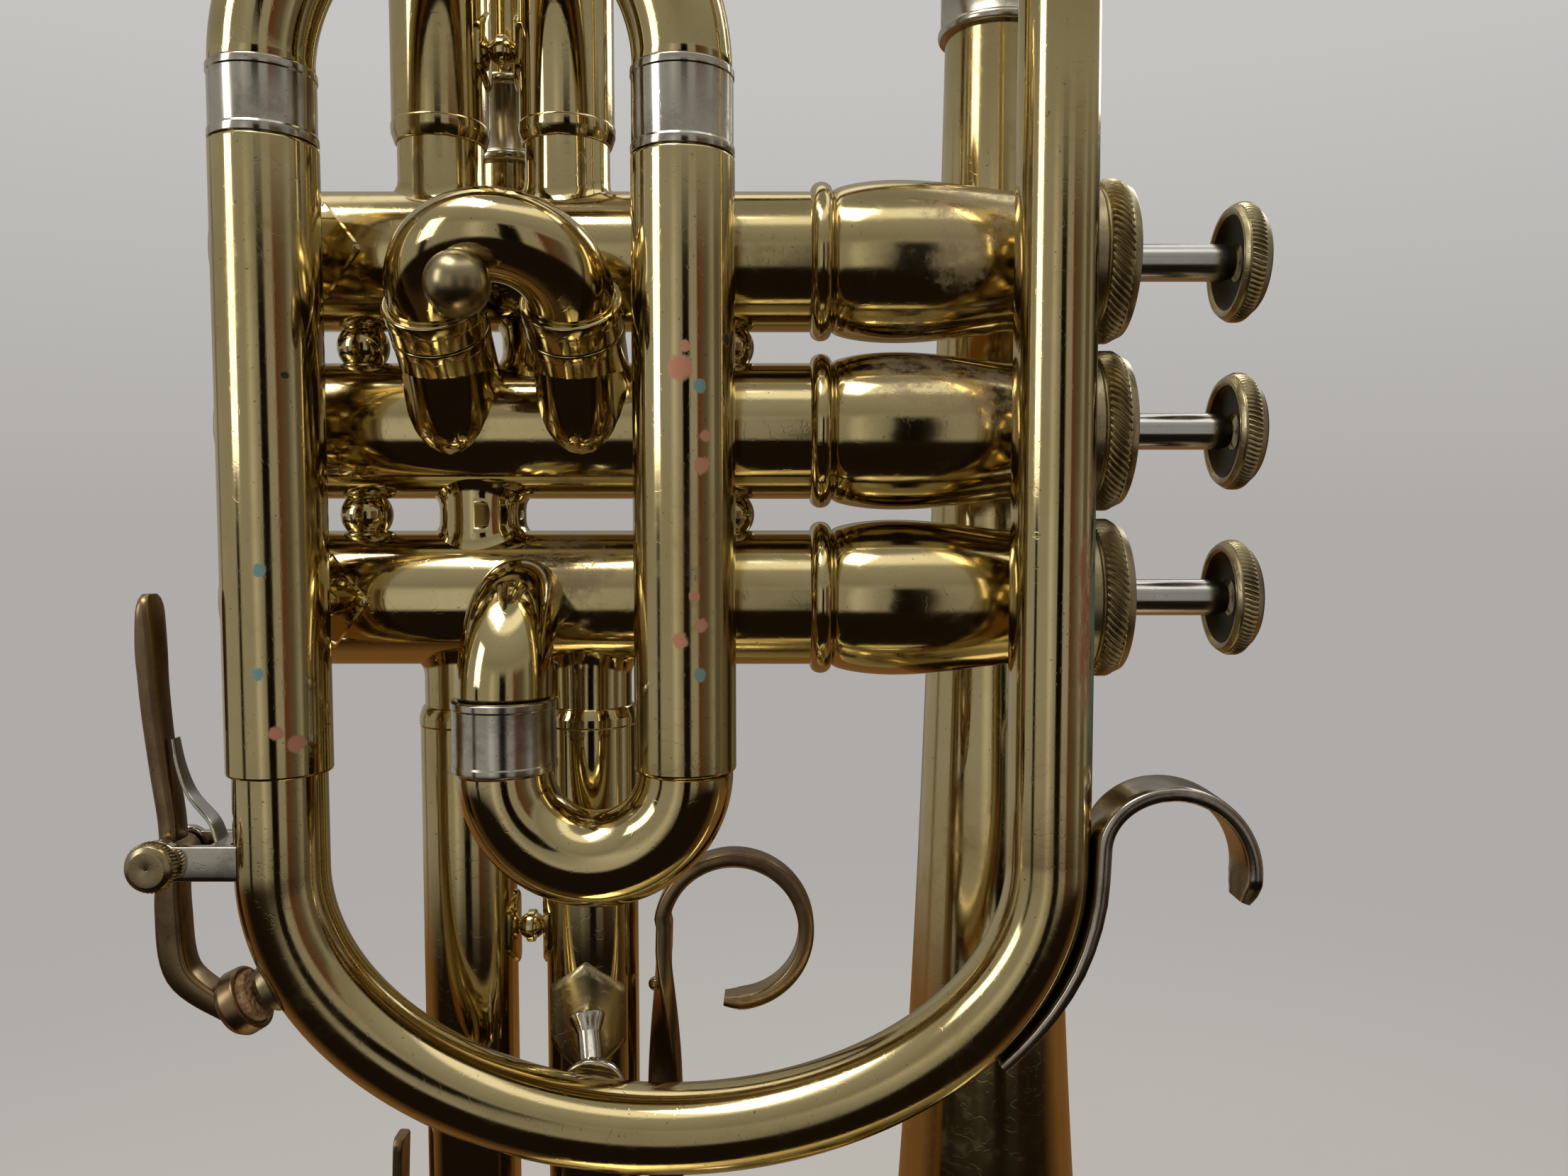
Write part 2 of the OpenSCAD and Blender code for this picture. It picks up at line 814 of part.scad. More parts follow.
module slide_2_knob() {
    leg_d = slide_2_sleeve_d - 2 * tube_wall - 2 * slide_gap;
    color(brass)
        along_slide_2()
            difference() {
                translate([-2.5, 0, slide_2_bow_at + crook_r - 1])
                    rotate([90, 0, 0]) {
                        cylinder(d = 5.4, h = leg_d / 2 + 1.6);
                        translate([0, 0, leg_d / 2 + 3.6]) sphere(d = 8.6);
                    }
                translate([0, 0, slide_2_bow_at])
                    rotate([90, 0, 0]) rotate_extrude() translate([crook_r, 0]) circle(d = leg_d);
            }
}

module slide_3_sleeves() {
    color(brass)
        translate([slide_3_x, valve_y, slide_3_end_z])
            two_tubes(crook_r) pipe(crook_sleeve_d, slide_3_step_z - slide_3_end_z);
    color(brass)
        meets_casings()
            translate([slide_3_x, valve_y, slide_3_step_z])
                two_tubes(crook_r) pipe(crook_leg_d, valve_z[2] - slide_3_step_z);
}

module slide_3_crook() {
    leg_top = slide_3_step_z - 6;
    color(brass)
        translate([slide_3_x, valve_y, 0])
            mirror([0, 0, 1]) {
                crook(-leg_top, -slide_3_bow_z, crook_leg_d);
                two_tubes(crook_r)
                    translate([0, 0, 0.2 - slide_3_end_z]) pipe(crook_sleeve_d, 5, 0.75);
            }
}

// Ring for the third finger, on a strip that runs down to the slide's crook
module finger_ring() {
    foot_z = 160;
    leg_r = crook_leg_d / 2;
    r_mid = ring_in_r + ring_t / 2;
    path = concat(
        [[strip_x, foot_z], [strip_x, 200], [strip_x, 214]],
        curve([strip_x, 218], [strip_x + 0.6, 224.5], ring_centre + r_mid * [cos(140), sin(140)], 6),
        [for (a = [128 : -12 : -100]) ring_centre + r_mid * [cos(a), sin(a)]]
    );
    color(patina) strip(path, ring_t, ring_w, valve_y);
    color(patina)
        difference() {
            translate([strip_x - 4, valve_y - 3, foot_z]) cube([4, 6, 9]);
            translate([slide_3_x + crook_r, valve_y, foot_z - 1]) cylinder(r = leg_r, h = 20);
        }
    color(brass)
        translate([strip_x - ring_t / 2 - 0.9, valve_y, 208.5])
            rotate([0, 90, 0]) cylinder(d = 3, h = 1.2);
}

// ---- Braces, hook and water keys ----

// Hexagonal plate on the third slide's sleeve, and a rod forward to the front bow
module bow_brace() {
    plate_z = 206;
    tube_x = slide_3_x + crook_r;
    bow_back = bow_point(75)[1] + bow_r(75) + 0.15;
    pad_t = 2.7;
    pad_at = [-65.5, bow_back + pad_t / 2, 198.2];
    from = [tube_x, valve_y - 6, plate_z];
    run = pad_at - from;
    color(nickel)
        difference() {
            union() {
                translate([tube_x, valve_y, plate_z])
                    saddle(crook_sleeve_d / 2, 0.8, 18, tall_hexagon(11.4, 17.5));
                translate(from)
                    rotate([0, acos(run[2] / norm(run)), atan2(run[1], run[0])])
                        cylinder(d = 4, h = norm(run));
                translate([pad_at[0], bow_back + pad_t, pad_at[2]])
                    rotate([90, 0, 0]) cylinder(d = 10, h = pad_t);
            }
            translate([tube_x, valve_y, plate_z]) cylinder(d = crook_sleeve_d, h = 60, center = true);
        }
}

module pinky_hook() {
    t = 2.2;
    top = [16.8, 244.2];
    hook_r = 11.6;
    start = [bow_r(180) + t / 2, 236];
    reach = top - start;
    rise = [for (a = [172 : -12 : 100]) [top[0] + reach[0] * cos(a), start[1] + reach[1] * sin(a)]];
    arch = [for (a = [88 : -14 : -24]) [top[0], top[1] - hook_r] + hook_r * [cos(a), sin(a)]];
    color(nickel)
        strip(
            concat([for (a = [142 : 6 : 178]) off_bow(a, bow_r(a) + t / 2)], [start], rise, arch),
            t, 9, lead_y
        );
}

// Post and fork that hold the lever's axle
module bow_key_saddle() {
    post_x = left_x - bow_r(0) - 0.2;
    color(nickel)
        difference() {
            translate([0, slide_y, key_pivot[1]]) {
                for (side = [-1, 1])
                    translate([key_pivot[0], side * (key_width / 2 + 1.05), 0]) {
                        rotate([90, 0, 0]) cylinder(d = 6.4, h = 1.7, center = true);
                        translate([0, -0.85, -2.4]) cube([post_x - key_pivot[0], 1.7, 4.8]);
                    }
                translate([-116, -key_width / 2 - 1.9, -2.4])
                    cube([post_x + 116 + 3, key_width + 3.8, 4.8]);
            }
            translate([left_x, slide_y, 220]) cylinder(r = bow_r(0), h = 40);
            translate([key_pivot[0], slide_y, key_pivot[1]])
                rotate([90, 0, 0]) cylinder(d = key_axle_d, h = 20, center = true);
        }
}

// Axle screw with a milled head on the -Y side
module bow_key_screw() {
    half = key_width / 2 + 1.9;
    color(old_brass)
        translate([key_pivot[0], slide_y, key_pivot[1]])
            rotate([90, 0, 0]) {
                translate([0, 0, -half]) cylinder(d = key_axle_d, h = 2 * half);
                translate([0, 0, half]) cylinder(d = 7, h = 2.6);
            }
}

// Turns +Z to the bow's outward normal at the water hole
module at_nipple() {
    n = bow_normal(nipple_angle);
    p = bow_point(nipple_angle);
    translate([p[0], p[1], p[2]]) rotate([0, atan2(n[0], n[1]), 0]) children();
}

module bow_key_nipple() {
    r = bow_r(nipple_angle);
    color(brass)
        at_nipple()
            difference() {
                union() {
                    cylinder(d = 7.4, h = r + 0.9);
                    cylinder(d = 5.4, h = r + 2.2);
                }
                sphere(r = r - 0.15);
                rotate([0, 90, 0]) cylinder(r = r + 0.25, h = 20, center = true);
                cylinder(d = 2.4, h = 20);
            }
}

cork_low = 2.3;
cork_h = 2.6;

module bow_key_cork() {
    color("tan") at_nipple() translate([0, 0, bow_r(nipple_angle) + cork_low]) cylinder(d = 7.4, h = cork_h);
}

module bow_key_lever() {
    cup_at = off_bow(nipple_angle, bow_r(nipple_angle) + cork_low + cork_h + 1.2);
    w = key_width - 0.6;
    color(patina)
        difference() {
            union() {
                strip(
                    concat(
                        [[-124.6, 272], [-124.2, 262]],
                        curve([-123.8, 254], [-121.6, 242], key_pivot, 5)
                    ),
                    1.8, w, slide_y
                );
                strip(curve(key_pivot, [-123, 218], cup_at + [-1.2, 0.4], 9), 2.2, w, slide_y);
                translate([key_pivot[0], slide_y + w / 2, key_pivot[1]])
                    rotate([90, 0, 0]) cylinder(d = 5.4, h = w);
                at_nipple()
                    translate([0, 0, bow_r(nipple_angle) + cork_low + 1])
                        difference() {
                            cylinder(d = 9.4, h = 3.4);
                            translate([0, 0, -1]) cylinder(d = 7.4, h = cork_h);
                        }
            }
            translate([key_pivot[0], slide_y, key_pivot[1]])
                rotate([90, 0, 0]) cylinder(d = key_axle_d + 0.1, h = 20, center = true);
            at_nipple()
                translate([0, 0, bow_r(nipple_angle) + cork_low - 3]) cylinder(d = 7.4, h = cork_h + 3);
        }
}

// The third slide's own water key, on the left leg and bow of its crook
crook_3_left_x = slide_3_x - crook_r;
key_3_hole_turn = 50;
key_3_w = 5;

module at_nipple_3() {
    translate([slide_3_x, valve_y, slide_3_bow_z])
        rotate([0, -90 - key_3_hole_turn, 0]) children();
}

module slide_3_key_saddle() {
    post_x = crook_3_left_x - crook_leg_d / 2;
    color(nickel)
        difference() {
            union() {
                translate([0, valve_y, key_3_pivot[1]]) {
                    for (side = [-1, 1])
                        translate([key_3_pivot[0], side * (key_3_w / 2 + 0.95), 0]) {
                            rotate([90, 0, 0]) cylinder(d = 5, h = 1.5, center = true);
                            translate([0, -0.75, -2]) cube([post_x - key_3_pivot[0] + 1, 1.5, 4]);
                        }
                    rotate([90, 0, 0])
                        translate([key_3_pivot[0], 0, 0])
                            cylinder(d = 2, h = key_3_w + 3.2, center = true);
                }
                at_nipple_3() cylinder(d = 6.4, h = crook_r + crook_leg_d / 2 + 1.8);
            }
            translate([crook_3_left_x, valve_y, 100]) cylinder(d = crook_leg_d, h = 80);
            translate([slide_3_x, valve_y, slide_3_bow_z])
                rotate([90, 0, 0]) {
                    rotate_extrude() translate([crook_r, 0]) circle(d = crook_leg_d);
                    cylinder(r = crook_r, h = 20, center = true);
                }
        }
}

module slide_3_key_cork() {
    color("tan")
        at_nipple_3()
            translate([0, 0, crook_r + crook_leg_d / 2 + 1.9]) cylinder(d = 6.4, h = 2.2);
}

module slide_3_key() {
    top = crook_r + crook_leg_d / 2 + 1.9;
    out = [-cos(key_3_hole_turn), -sin(key_3_hole_turn)];
    cup_at = [slide_3_x, slide_3_bow_z] + (top + 3) * out;
    color(patina)
        difference() {
            union() {
                strip(
                    concat([[-98.6, 184], [-99, 172]], curve([-99, 166], [-98.4, 158], key_3_pivot, 4)),
                    1.6, key_3_w, valve_y
                );
                strip(curve(key_3_pivot, [-99.5, 130], cup_at, 8), 1.8, key_3_w, valve_y);
                translate([key_3_pivot[0], valve_y + key_3_w / 2, key_3_pivot[1]])
                    rotate([90, 0, 0]) cylinder(d = 4.4, h = key_3_w);
                at_nipple_3() translate([0, 0, top + 0.9]) cylinder(d = 8, h = 2.8);
            }
            translate([key_3_pivot[0], valve_y, key_3_pivot[1]])
                rotate([90, 0, 0]) cylinder(d = 2.1, h = 20, center = true);
            at_nipple_3() translate([0, 0, top - 1]) cylinder(d = 6.4, h = 3.2);
        }
}

bell();
rear_bow();
rear_bow_ferrules();
bell_tail();
bell_braces();
leadpipe();
receiver();
front_bow();
left_sleeve();
right_sleeve();
small_bow();
small_bow_ferrule();
elbow();
valve_casing_1();
valve_casing_2();
valve_casing_3();
top_caps();
bottom_caps();
valve_guides();
port_tubes();
casing_spacers();
sleeve_braces();
bow_brace();
pinky_hook();
bow_key_saddle();
bow_key_nipple();
slide_1_sleeves();
slide_2_sleeves();
slide_3_sleeves();
slide_1_brace();
slide_3_brace();
tuning_slide();
tuning_ferrules();
slide_1_crook();
slide_2_crook();
slide_2_knob();
slide_3_crook();
finger_ring();
slide_3_key_saddle();
slide_3_key();
slide_3_key_cork();
piston_1();
piston_2();
piston_3();
stem_1();
stem_2();
stem_3();
button_1();
button_2();
button_3();
pearl_1();
pearl_2();
pearl_3();
valve_spring_1();
valve_spring_2();
valve_spring_3();
bow_key_lever();
bow_key_cork();
bow_key_screw();
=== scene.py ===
"""Looks of the three-valve bugle: shapes the plain CAD solids only block out, materials, light, camera."""
from math import copysign, cos, hypot, pi, radians, sin, sqrt, tan

import bmesh
import bpy
import numpy as np
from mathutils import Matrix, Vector


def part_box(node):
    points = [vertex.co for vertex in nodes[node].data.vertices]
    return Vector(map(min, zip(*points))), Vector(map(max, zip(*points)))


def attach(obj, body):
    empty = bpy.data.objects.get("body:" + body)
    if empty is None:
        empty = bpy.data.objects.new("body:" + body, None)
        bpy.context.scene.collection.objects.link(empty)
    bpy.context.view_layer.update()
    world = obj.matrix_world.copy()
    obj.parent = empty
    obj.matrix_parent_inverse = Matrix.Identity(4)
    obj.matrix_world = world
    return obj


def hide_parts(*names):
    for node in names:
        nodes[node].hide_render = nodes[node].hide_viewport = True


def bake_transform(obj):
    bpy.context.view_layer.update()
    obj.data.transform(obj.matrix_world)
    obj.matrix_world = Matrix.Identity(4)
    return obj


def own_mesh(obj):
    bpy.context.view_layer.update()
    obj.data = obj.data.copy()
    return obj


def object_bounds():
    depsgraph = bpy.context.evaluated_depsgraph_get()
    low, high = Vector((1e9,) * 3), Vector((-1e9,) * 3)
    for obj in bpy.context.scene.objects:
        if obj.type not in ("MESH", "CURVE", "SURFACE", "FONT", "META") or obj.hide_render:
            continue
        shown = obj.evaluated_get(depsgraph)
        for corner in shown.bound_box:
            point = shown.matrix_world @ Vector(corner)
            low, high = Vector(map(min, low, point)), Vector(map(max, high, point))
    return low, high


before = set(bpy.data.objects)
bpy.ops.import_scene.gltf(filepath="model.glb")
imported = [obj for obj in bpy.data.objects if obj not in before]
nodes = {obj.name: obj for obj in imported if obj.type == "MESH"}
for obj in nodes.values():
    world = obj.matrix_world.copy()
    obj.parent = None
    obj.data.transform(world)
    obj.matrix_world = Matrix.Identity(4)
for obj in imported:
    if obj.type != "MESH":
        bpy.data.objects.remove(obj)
cad_low, cad_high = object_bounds()
MM = 0.001
TAU = 2 * pi
ALONG_X, ALONG_Y, UP = (1, 0, 0), (0, 1, 0), (0, 0, 1)
AXIS = 0.01  # the radius that closes an outline on its axis


# ---- Places, all read from the frame ----

def low(node):
    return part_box(node)[0] / MM


def high(node):
    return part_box(node)[1] / MM


def centre(node):
    return (low(node) + high(node)) / 2


def width(node):
    return high(node) - low(node)


# ---- Mesh code ----

def add_piece(name, verts, faces, body, material, stands_for=(), sharp=40):
    """A mesh object riding on a body, smooth but for edges sharper than the given angle."""
    mesh = bpy.data.meshes.new(name)
    mesh.from_pydata([tuple(c * MM for c in v) for v in verts], [], faces)
    cleaned = bmesh.new()
    cleaned.from_mesh(mesh)
    bmesh.ops.remove_doubles(cleaned, verts=cleaned.verts, dist=2e-6)
    bmesh.ops.dissolve_degenerate(cleaned, edges=cleaned.edges, dist=1e-6)
    bmesh.ops.recalc_face_normals(cleaned, faces=cleaned.faces)
    cleaned.to_mesh(mesh)
    cleaned.free()
    mesh.polygons.foreach_set("use_smooth", [True] * len(mesh.polygons))
    mesh.set_sharp_from_angle(angle=radians(sharp))
    obj = bpy.data.objects.new(name, mesh)
    bpy.context.scene.collection.objects.link(obj)
    obj.data.materials.append(material)
    if body:
        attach(obj, body)
    if stands_for:
        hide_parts(*stands_for)
    return obj


def grid_faces(rows, cols, start=0, wrap_rows=False, wrap_cols=True):
    faces = []
    for i in range(rows if wrap_rows else rows - 1):
        for j in range(cols if wrap_cols else cols - 1):
            a, b = i * cols + j, i * cols + (j + 1) % cols
            c, d = ((i + 1) % rows) * cols + (j + 1) % cols, ((i + 1) % rows) * cols + j
            faces.append((start + a, start + b, start + c, start + d))
    return faces


class Shape:
    """Vertices and faces gathered from several closed surfaces."""

    def __init__(self):
        self.verts, self.faces = [], []

    def add(self, verts, faces):
        start = len(self.verts)
        self.verts += [tuple(v) for v in verts]
        self.faces += [tuple(start + i for i in f) for f in faces]
        return self

    def piece(self, name, body, material, slot=None, stands_for=(), sharp=40):
        return add_piece(name, self.verts, self.faces, body, material, stands_for, sharp)


def basis(direction):
    """Two unit vectors square to a direction."""
    d = Vector(direction).normalized()
    side = d.orthogonal().normalized()
    if abs(d.z) < 0.9:
        side = (Vector((0, 0, 1)) - d.z * d).normalized()
    return d, side, d.cross(side)


def rounded(points, radius, cuts=3, closed=True):
    """An outline with its corners rounded by arcs no longer than half of either side."""
    pts = [Vector(p) for p in points]
    n, out = len(pts), []
    for i, p in enumerate(pts):
        if not closed and i in (0, n - 1):
            out.append(p)
            continue
        a, b = pts[i - 1] - p, pts[(i + 1) % n] - p
        if a.length < 1e-9 or b.length < 1e-9:
            continue
        turn = a.angle(b)
        if turn > radians(168):
            out.append(p)
            continue
        cut = min(radius / tan(turn / 2), a.length * 0.45, b.length * 0.45)
        start, end = p + a.normalized() * cut, p + b.normalized() * cut
        for k in range(cuts + 1):
            t = k / cuts
            out.append((1 - t) ** 2 * start + 2 * t * (1 - t) * p + t * t * end)
    return out


def lathe(shape, profile, base, direction, turns=96, closed=True):
    """Turns an outline of (radius, height) about an axis."""
    d, u, v = basis(direction)
    base = Vector(base)
    verts = []
    for p in profile:
        for j in range(turns):
            a = TAU * j / turns
            verts.append(base + d * p[1] + (u * cos(a) + v * sin(a)) * max(p[0], 0))
    return shape.add(verts, grid_faces(len(profile), turns, wrap_rows=closed))


def turned(shape, points, soften, base, direction, turns=96, closed=True):
    """Turns an outline with softened corners about an axis."""
    return lathe(shape, rounded(points, soften), base, direction, turns, closed)


def shifted(points, by):
    """An outline of (radius, height) moved along its axis."""
    return [(r, h + by) for r, h in points]


def in_plane(y, points):
    """Points given as (x, z) in the upright plane at y."""
    return [(x, y, z) for x, z in points]


def carried_frames(path, side):
    """Tangent, side and third direction along a path, carried without twist."""
    pts = np.array(path, float)
    tangent = np.gradient(pts, axis=0)
    tangent /= np.linalg.norm(tangent, axis=1)[:, None]
    out, s = [], np.array(side, float)
    for t in tangent:
        s = s - (s @ t) * t
        s /= np.linalg.norm(s)
        out.append((t, s.copy(), np.cross(t, s)))
    return pts, out


def tube(shape, path, radii, wall=0.7, side=ALONG_Y, around=48, lip=True):
    """Hollow tube along a path: outer skin forward, inner skin back, joined at both ends."""
    pts, frames = carried_frames(path, side)
    radii = np.broadcast_to(np.array(radii, float), (len(pts),))
    rings = []

    def ring(i, r, shift=0.0):
        t, s, w = frames[i]
        a = np.arange(around) * TAU / around
        rings.append(pts[i] + t * shift + r * (np.outer(np.cos(a), s) + np.outer(np.sin(a), w)))

    edge = min(wall * 0.4, 0.3) if lip else 0
    last = len(pts) - 1
    if lip:
        ring(0, radii[0] - edge)
    for i in range(last + 1):
        ring(i, radii[i], edge if i == 0 else (-edge if i == last else 0))
    if lip:
        ring(last, radii[last] - edge)
    for i in range(last, -1, -1):
        ring(i, radii[i] - wall)
    verts = np.concatenate(rings)
    return shape.add(verts, grid_faces(len(rings), around, wrap_rows=True))


def line(a, b, n=2):
    a, b = Vector(a), Vector(b)
    return [a.lerp(b, i / (n - 1)) for i in range(n)]


def arc(middle, start, toward, degrees, n):
    """Points turning from middle + start towards middle + toward."""
    middle, start, toward = Vector(middle), Vector(start), Vector(toward)
    return [
        middle + start * cos(radians(degrees * i / n)) + toward * sin(radians(degrees * i / n))
        for i in range(n + 1)
    ]


def ball(shape, middle, radius, direction=UP, around=48):
    """A sphere as a lathe with closed poles."""
    profile = [(radius * cos(a), radius * sin(a)) for a in np.linspace(-pi / 2, pi / 2, 25)]
    return lathe(shape, profile, middle, direction, around, closed=False)


def bar(shape, path, wide, thick, side=ALONG_Y, corner=0.35, twist=0.0):
    """A bar of rounded rectangular section along a path: wide along side, thick across; twist in degrees."""
    pts, frames = carried_frames(path, side)
    n = len(pts)
    widths = np.broadcast_to(np.array(wide, float), (n,))
    thicks = np.broadcast_to(np.array(thick, float), (n,))
    twists = np.radians(np.broadcast_to(np.array(twist, float), (n,)))
    verts = []
    loop = section(24, corner)
    for i in range(n):
        t, s, w = frames[i]
        s, w = s * cos(twists[i]) + w * sin(twists[i]), w * cos(twists[i]) - s * sin(twists[i])
        for x, y in loop:
            verts.append(pts[i] + s * x * widths[i] / 2 + w * y * thicks[i] / 2)
    count = len(loop)
    faces = grid_faces(n, count)
    faces.append(tuple(range(count - 1, -1, -1)))
    faces.append(tuple((n - 1) * count + j for j in range(count)))
    return shape.add(verts, faces)


def section(count, corner):
    """A rounded square of half-size 1 as a superellipse; corner 0 is square and 1 is round."""
    power = 2 / (2 + 8 * (1 - corner))
    out = []
    for j in range(count):
        a = TAU * j / count
        c, s = cos(a), sin(a)
        out.append((copysign(abs(c) ** power, c), copysign(abs(s) ** power, s)))
    return out


def ellipse_points(middle, wide, tall, angles):
    """Points of an upright ellipse at the given degrees, in the plane of its middle."""
    middle = Vector(middle)
    return [middle + Vector((wide * cos(radians(a)), 0, tall * sin(radians(a)))) for a in angles]


def bezier(points, n):
    """A smooth curve through given points."""
    pts = [Vector(p) for p in points]
    out = []
    for i in range(len(pts) - 1):
        before = pts[max(i - 1, 0)]
        after = pts[min(i + 2, len(pts) - 1)]
        a, d = pts[i], pts[i + 1]
        b, c = a + (d - before) / 6, d - (after - a) / 6
        for k in range(n):
            t = k / n
            out.append((1 - t) ** 3 * a + 3 * t * (1 - t) ** 2 * b + 3 * t * t * (1 - t) * c + t ** 3 * d)
    out.append(pts[-1])
    return out


# ---- Materials ----

class Net:
    """A node tree, with short calls for what the materials and the room share."""

    def __init__(self, tree):
        tree.nodes.clear()
        self.tree = tree

    def feed(self, node, inputs):
        """Links each named input to the socket given, or sets it to the constant given."""
        for key, value in inputs.items():
            socket = node.inputs[key]
            if isinstance(value, bpy.types.NodeSocket):
                self.tree.links.new(value, socket)
            else:
                socket.default_value = (*value, 1) if socket.type == "RGBA" else value
        return node

    def put(self, kind, inputs=None, **settings):
        node = self.tree.nodes.new("ShaderNode" + kind)
        for key, value in settings.items():
            setattr(node, key, value)
        return self.feed(node, inputs or {})

    def maths(self, operation, a, b=0.0):
        return self.put("Math", {0: a, 1: b}, operation=operation).outputs[0]

    def times(self, a, b):
        return self.maths("MULTIPLY", a, b)

    def plus(self, a, b):
        return self.maths("ADD", a, b)

    def minus(self, a, b):
        return self.maths("SUBTRACT", a, b)

    def most(self, a, b):
        return self.maths("MAXIMUM", a, b)

    def mix(self, factor, a, b):
        return self.put("Mix", {0: factor, 6: a, 7: b}, data_type="RGBA").outputs[2]

    def steps(self, value, start, end, to_start=0.0, to_end=1.0):
        limits = {"From Min": start, "From Max": end, "To Min": to_start, "To Max": to_end}
        return self.put("MapRange", {"Value": value, **limits}).outputs["Result"]

    def noise(self, scale, detail=4, rough=0.55, stretch=(1, 1, 1), seed=0.0):
        """Noise about 0.5 at a scale per metre, stretched along the axes if asked."""
        moved = {"Vector": self.place, "Location": (seed, seed * 1.7, -seed), "Scale": stretch}
        vector = self.put("Mapping", moved).outputs[0]
        look = {"Vector": vector, "Scale": scale, "Detail": detail, "Roughness": rough}
        return self.put("TexNoise", look).outputs["Fac"]

    def color_steps(self, value, stops):
        """Colours blended between stops of (position, colour)."""
        ramp = self.put("ValToRGB", {"Fac": value})
        elements = ramp.color_ramp.elements
        while len(elements) > 1:
            elements.remove(elements[-1])
        elements[0].position, elements[0].color = stops[0][0], (*stops[0][1], 1)
        for position, color in stops[1:]:
            elements.new(position).color = (*color, 1)
        return ramp.outputs["Color"]


def new_material(name):
    mat = bpy.data.materials.new(name)
    mat.use_nodes = True
    net = Net(mat.node_tree)
    net.place = net.put("TexCoord").outputs["Object"]
    shader = net.put("BsdfPrincipled")
    net.output = net.put("OutputMaterial", {"Surface": shader.outputs["BSDF"]})
    return mat, net, shader


PATCHY_OVER = 4


def spot_mask(net, spots):
    """1 inside any of the spots (x, y, z, radius), with ragged edges; large spots are patchy."""
    wobble = net.noise(900, 3, 0.6)
    total = 0.0
    for x, y, z, r in spots:
        away = net.put("VectorMath", {0: net.place, 1: (x * MM, y * MM, z * MM)}, operation="DISTANCE")
        ragged = net.plus(away.outputs["Value"], net.times(wobble, -0.9 * r * MM))
        total = net.most(total, net.steps(ragged, 0.55 * r * MM, 0.2 * r * MM))
    if spots[0][3] > PATCHY_OVER:
        patches = net.steps(net.noise(330, 6, 0.75, seed=8.8), 0.44, 0.60, 0.12, 0.85)
        total = net.times(total, patches)
    return total


def streak_mask(net, x_edge, x_full, z_low, z_high):
    """1 along a ragged upright streak beyond x_edge, fading out at both heights."""
    fade = 8
    part = net.put("SeparateXYZ", {"Vector": net.place}).outputs
    across = net.steps(part["X"], x_edge * MM, x_full * MM)
    above = net.steps(part["Z"], z_low * MM, (z_low + fade) * MM)
    below = net.steps(part["Z"], z_high * MM, (z_high - fade) * MM)
    ragged = net.steps(net.noise(420, 5, 0.7, (1, 1, 0.3), 5.1), 0.40, 0.56)
    return net.times(net.times(across, above), net.times(below, ragged))


def metal(name, base, rough, haze, wear, tint, bump=0.05, grain=(1, 1, 0.12), spots=(), streaks=(),
        dark=None):
    """Metal with cloudy lacquer, faint wiping marks, pits and fine scratches; wear is how much shows."""
    mat, net, shader = new_material(name)
    cloud = net.noise(38, 5, 0.62, seed=1.3)
    fine = net.noise(420, 4, 0.6, seed=4.1)
    drawn = net.noise(60, 4, 0.5, grain, 2.2)
    color = net.mix(net.steps(cloud, 0.38, 0.68), base, tint)
    worn = net.steps(net.times(cloud, fine), 0.30, 0.42)
    color = net.mix(net.times(worn, wear), color, tuple(c * 0.72 for c in base))
    if dark:
        color = net.mix(net.steps(net.noise(120, 6, 0.7, seed=9.0), 0.50, 0.72, 0, 0.8), color, dark)
    pits = net.steps(net.noise(1500, 2, 0.5, seed=7.7), 0.70, 0.76)
    color = net.mix(net.times(pits, 0.55), color, (0.10, 0.06, 0.02))
    roughness = net.plus(net.steps(cloud, 0.35, 0.7, rough, rough + haze), net.times(worn, wear * 0.25))
    roughness = net.plus(roughness, net.steps(drawn, 0.5, 0.75, 0, haze * 0.4))
    metallic = 1.0
    stains = [(spot_mask(net, group), paint, dull) for group, paint, dull in spots]
    stains += [(streak_mask(net, *streak), paint, dull) for streak, paint, dull in streaks]
    for mask, paint, dull in stains:
        color = net.mix(mask, color, paint)
        roughness = net.most(roughness, net.times(mask, dull))
        metallic = net.times(metallic, net.minus(1.0, net.times(mask, 0.6)))
    slanted = net.put("Mapping", {"Vector": net.place, "Rotation": (0.4, 0.7, 0.3)}).outputs[0]
    lines = net.put("TexWave", {
        "Vector": slanted, "Scale": 55.0, "Distortion": 22.0, "Detail": 6.0, "Detail Scale": 2.2})
    scratch = net.steps(lines.outputs["Fac"], 0.985, 1.0)
    height = net.plus(net.times(drawn, 0.7), net.times(fine, 0.15))
    height = net.minus(height, net.times(scratch, 0.125))
    height = net.minus(height, net.times(pits, 0.2))
    relief = net.put("Bump", {"Height": height, "Strength": bump, "Distance": 0.0006})
    net.feed(shader, {
        "Base Color": color, "Roughness": roughness, "Metallic": metallic,
        "Normal": relief.outputs["Normal"]})
    return mat


BRASS = (0.62, 0.515, 0.285)
BRASS_TINT = (0.54, 0.43, 0.205)
SLEEVE_R = width("left_sleeve").x / 2


def on_sleeve(node, spots):
    """Spots (across, z, radius) laid on the front of an upright sleeve, across from its own axis."""
    middle = centre(node)
    return [(middle.x + dx, middle.y - sqrt(SLEEVE_R ** 2 - dx * dx), z, r) for dx, z, r in spots]


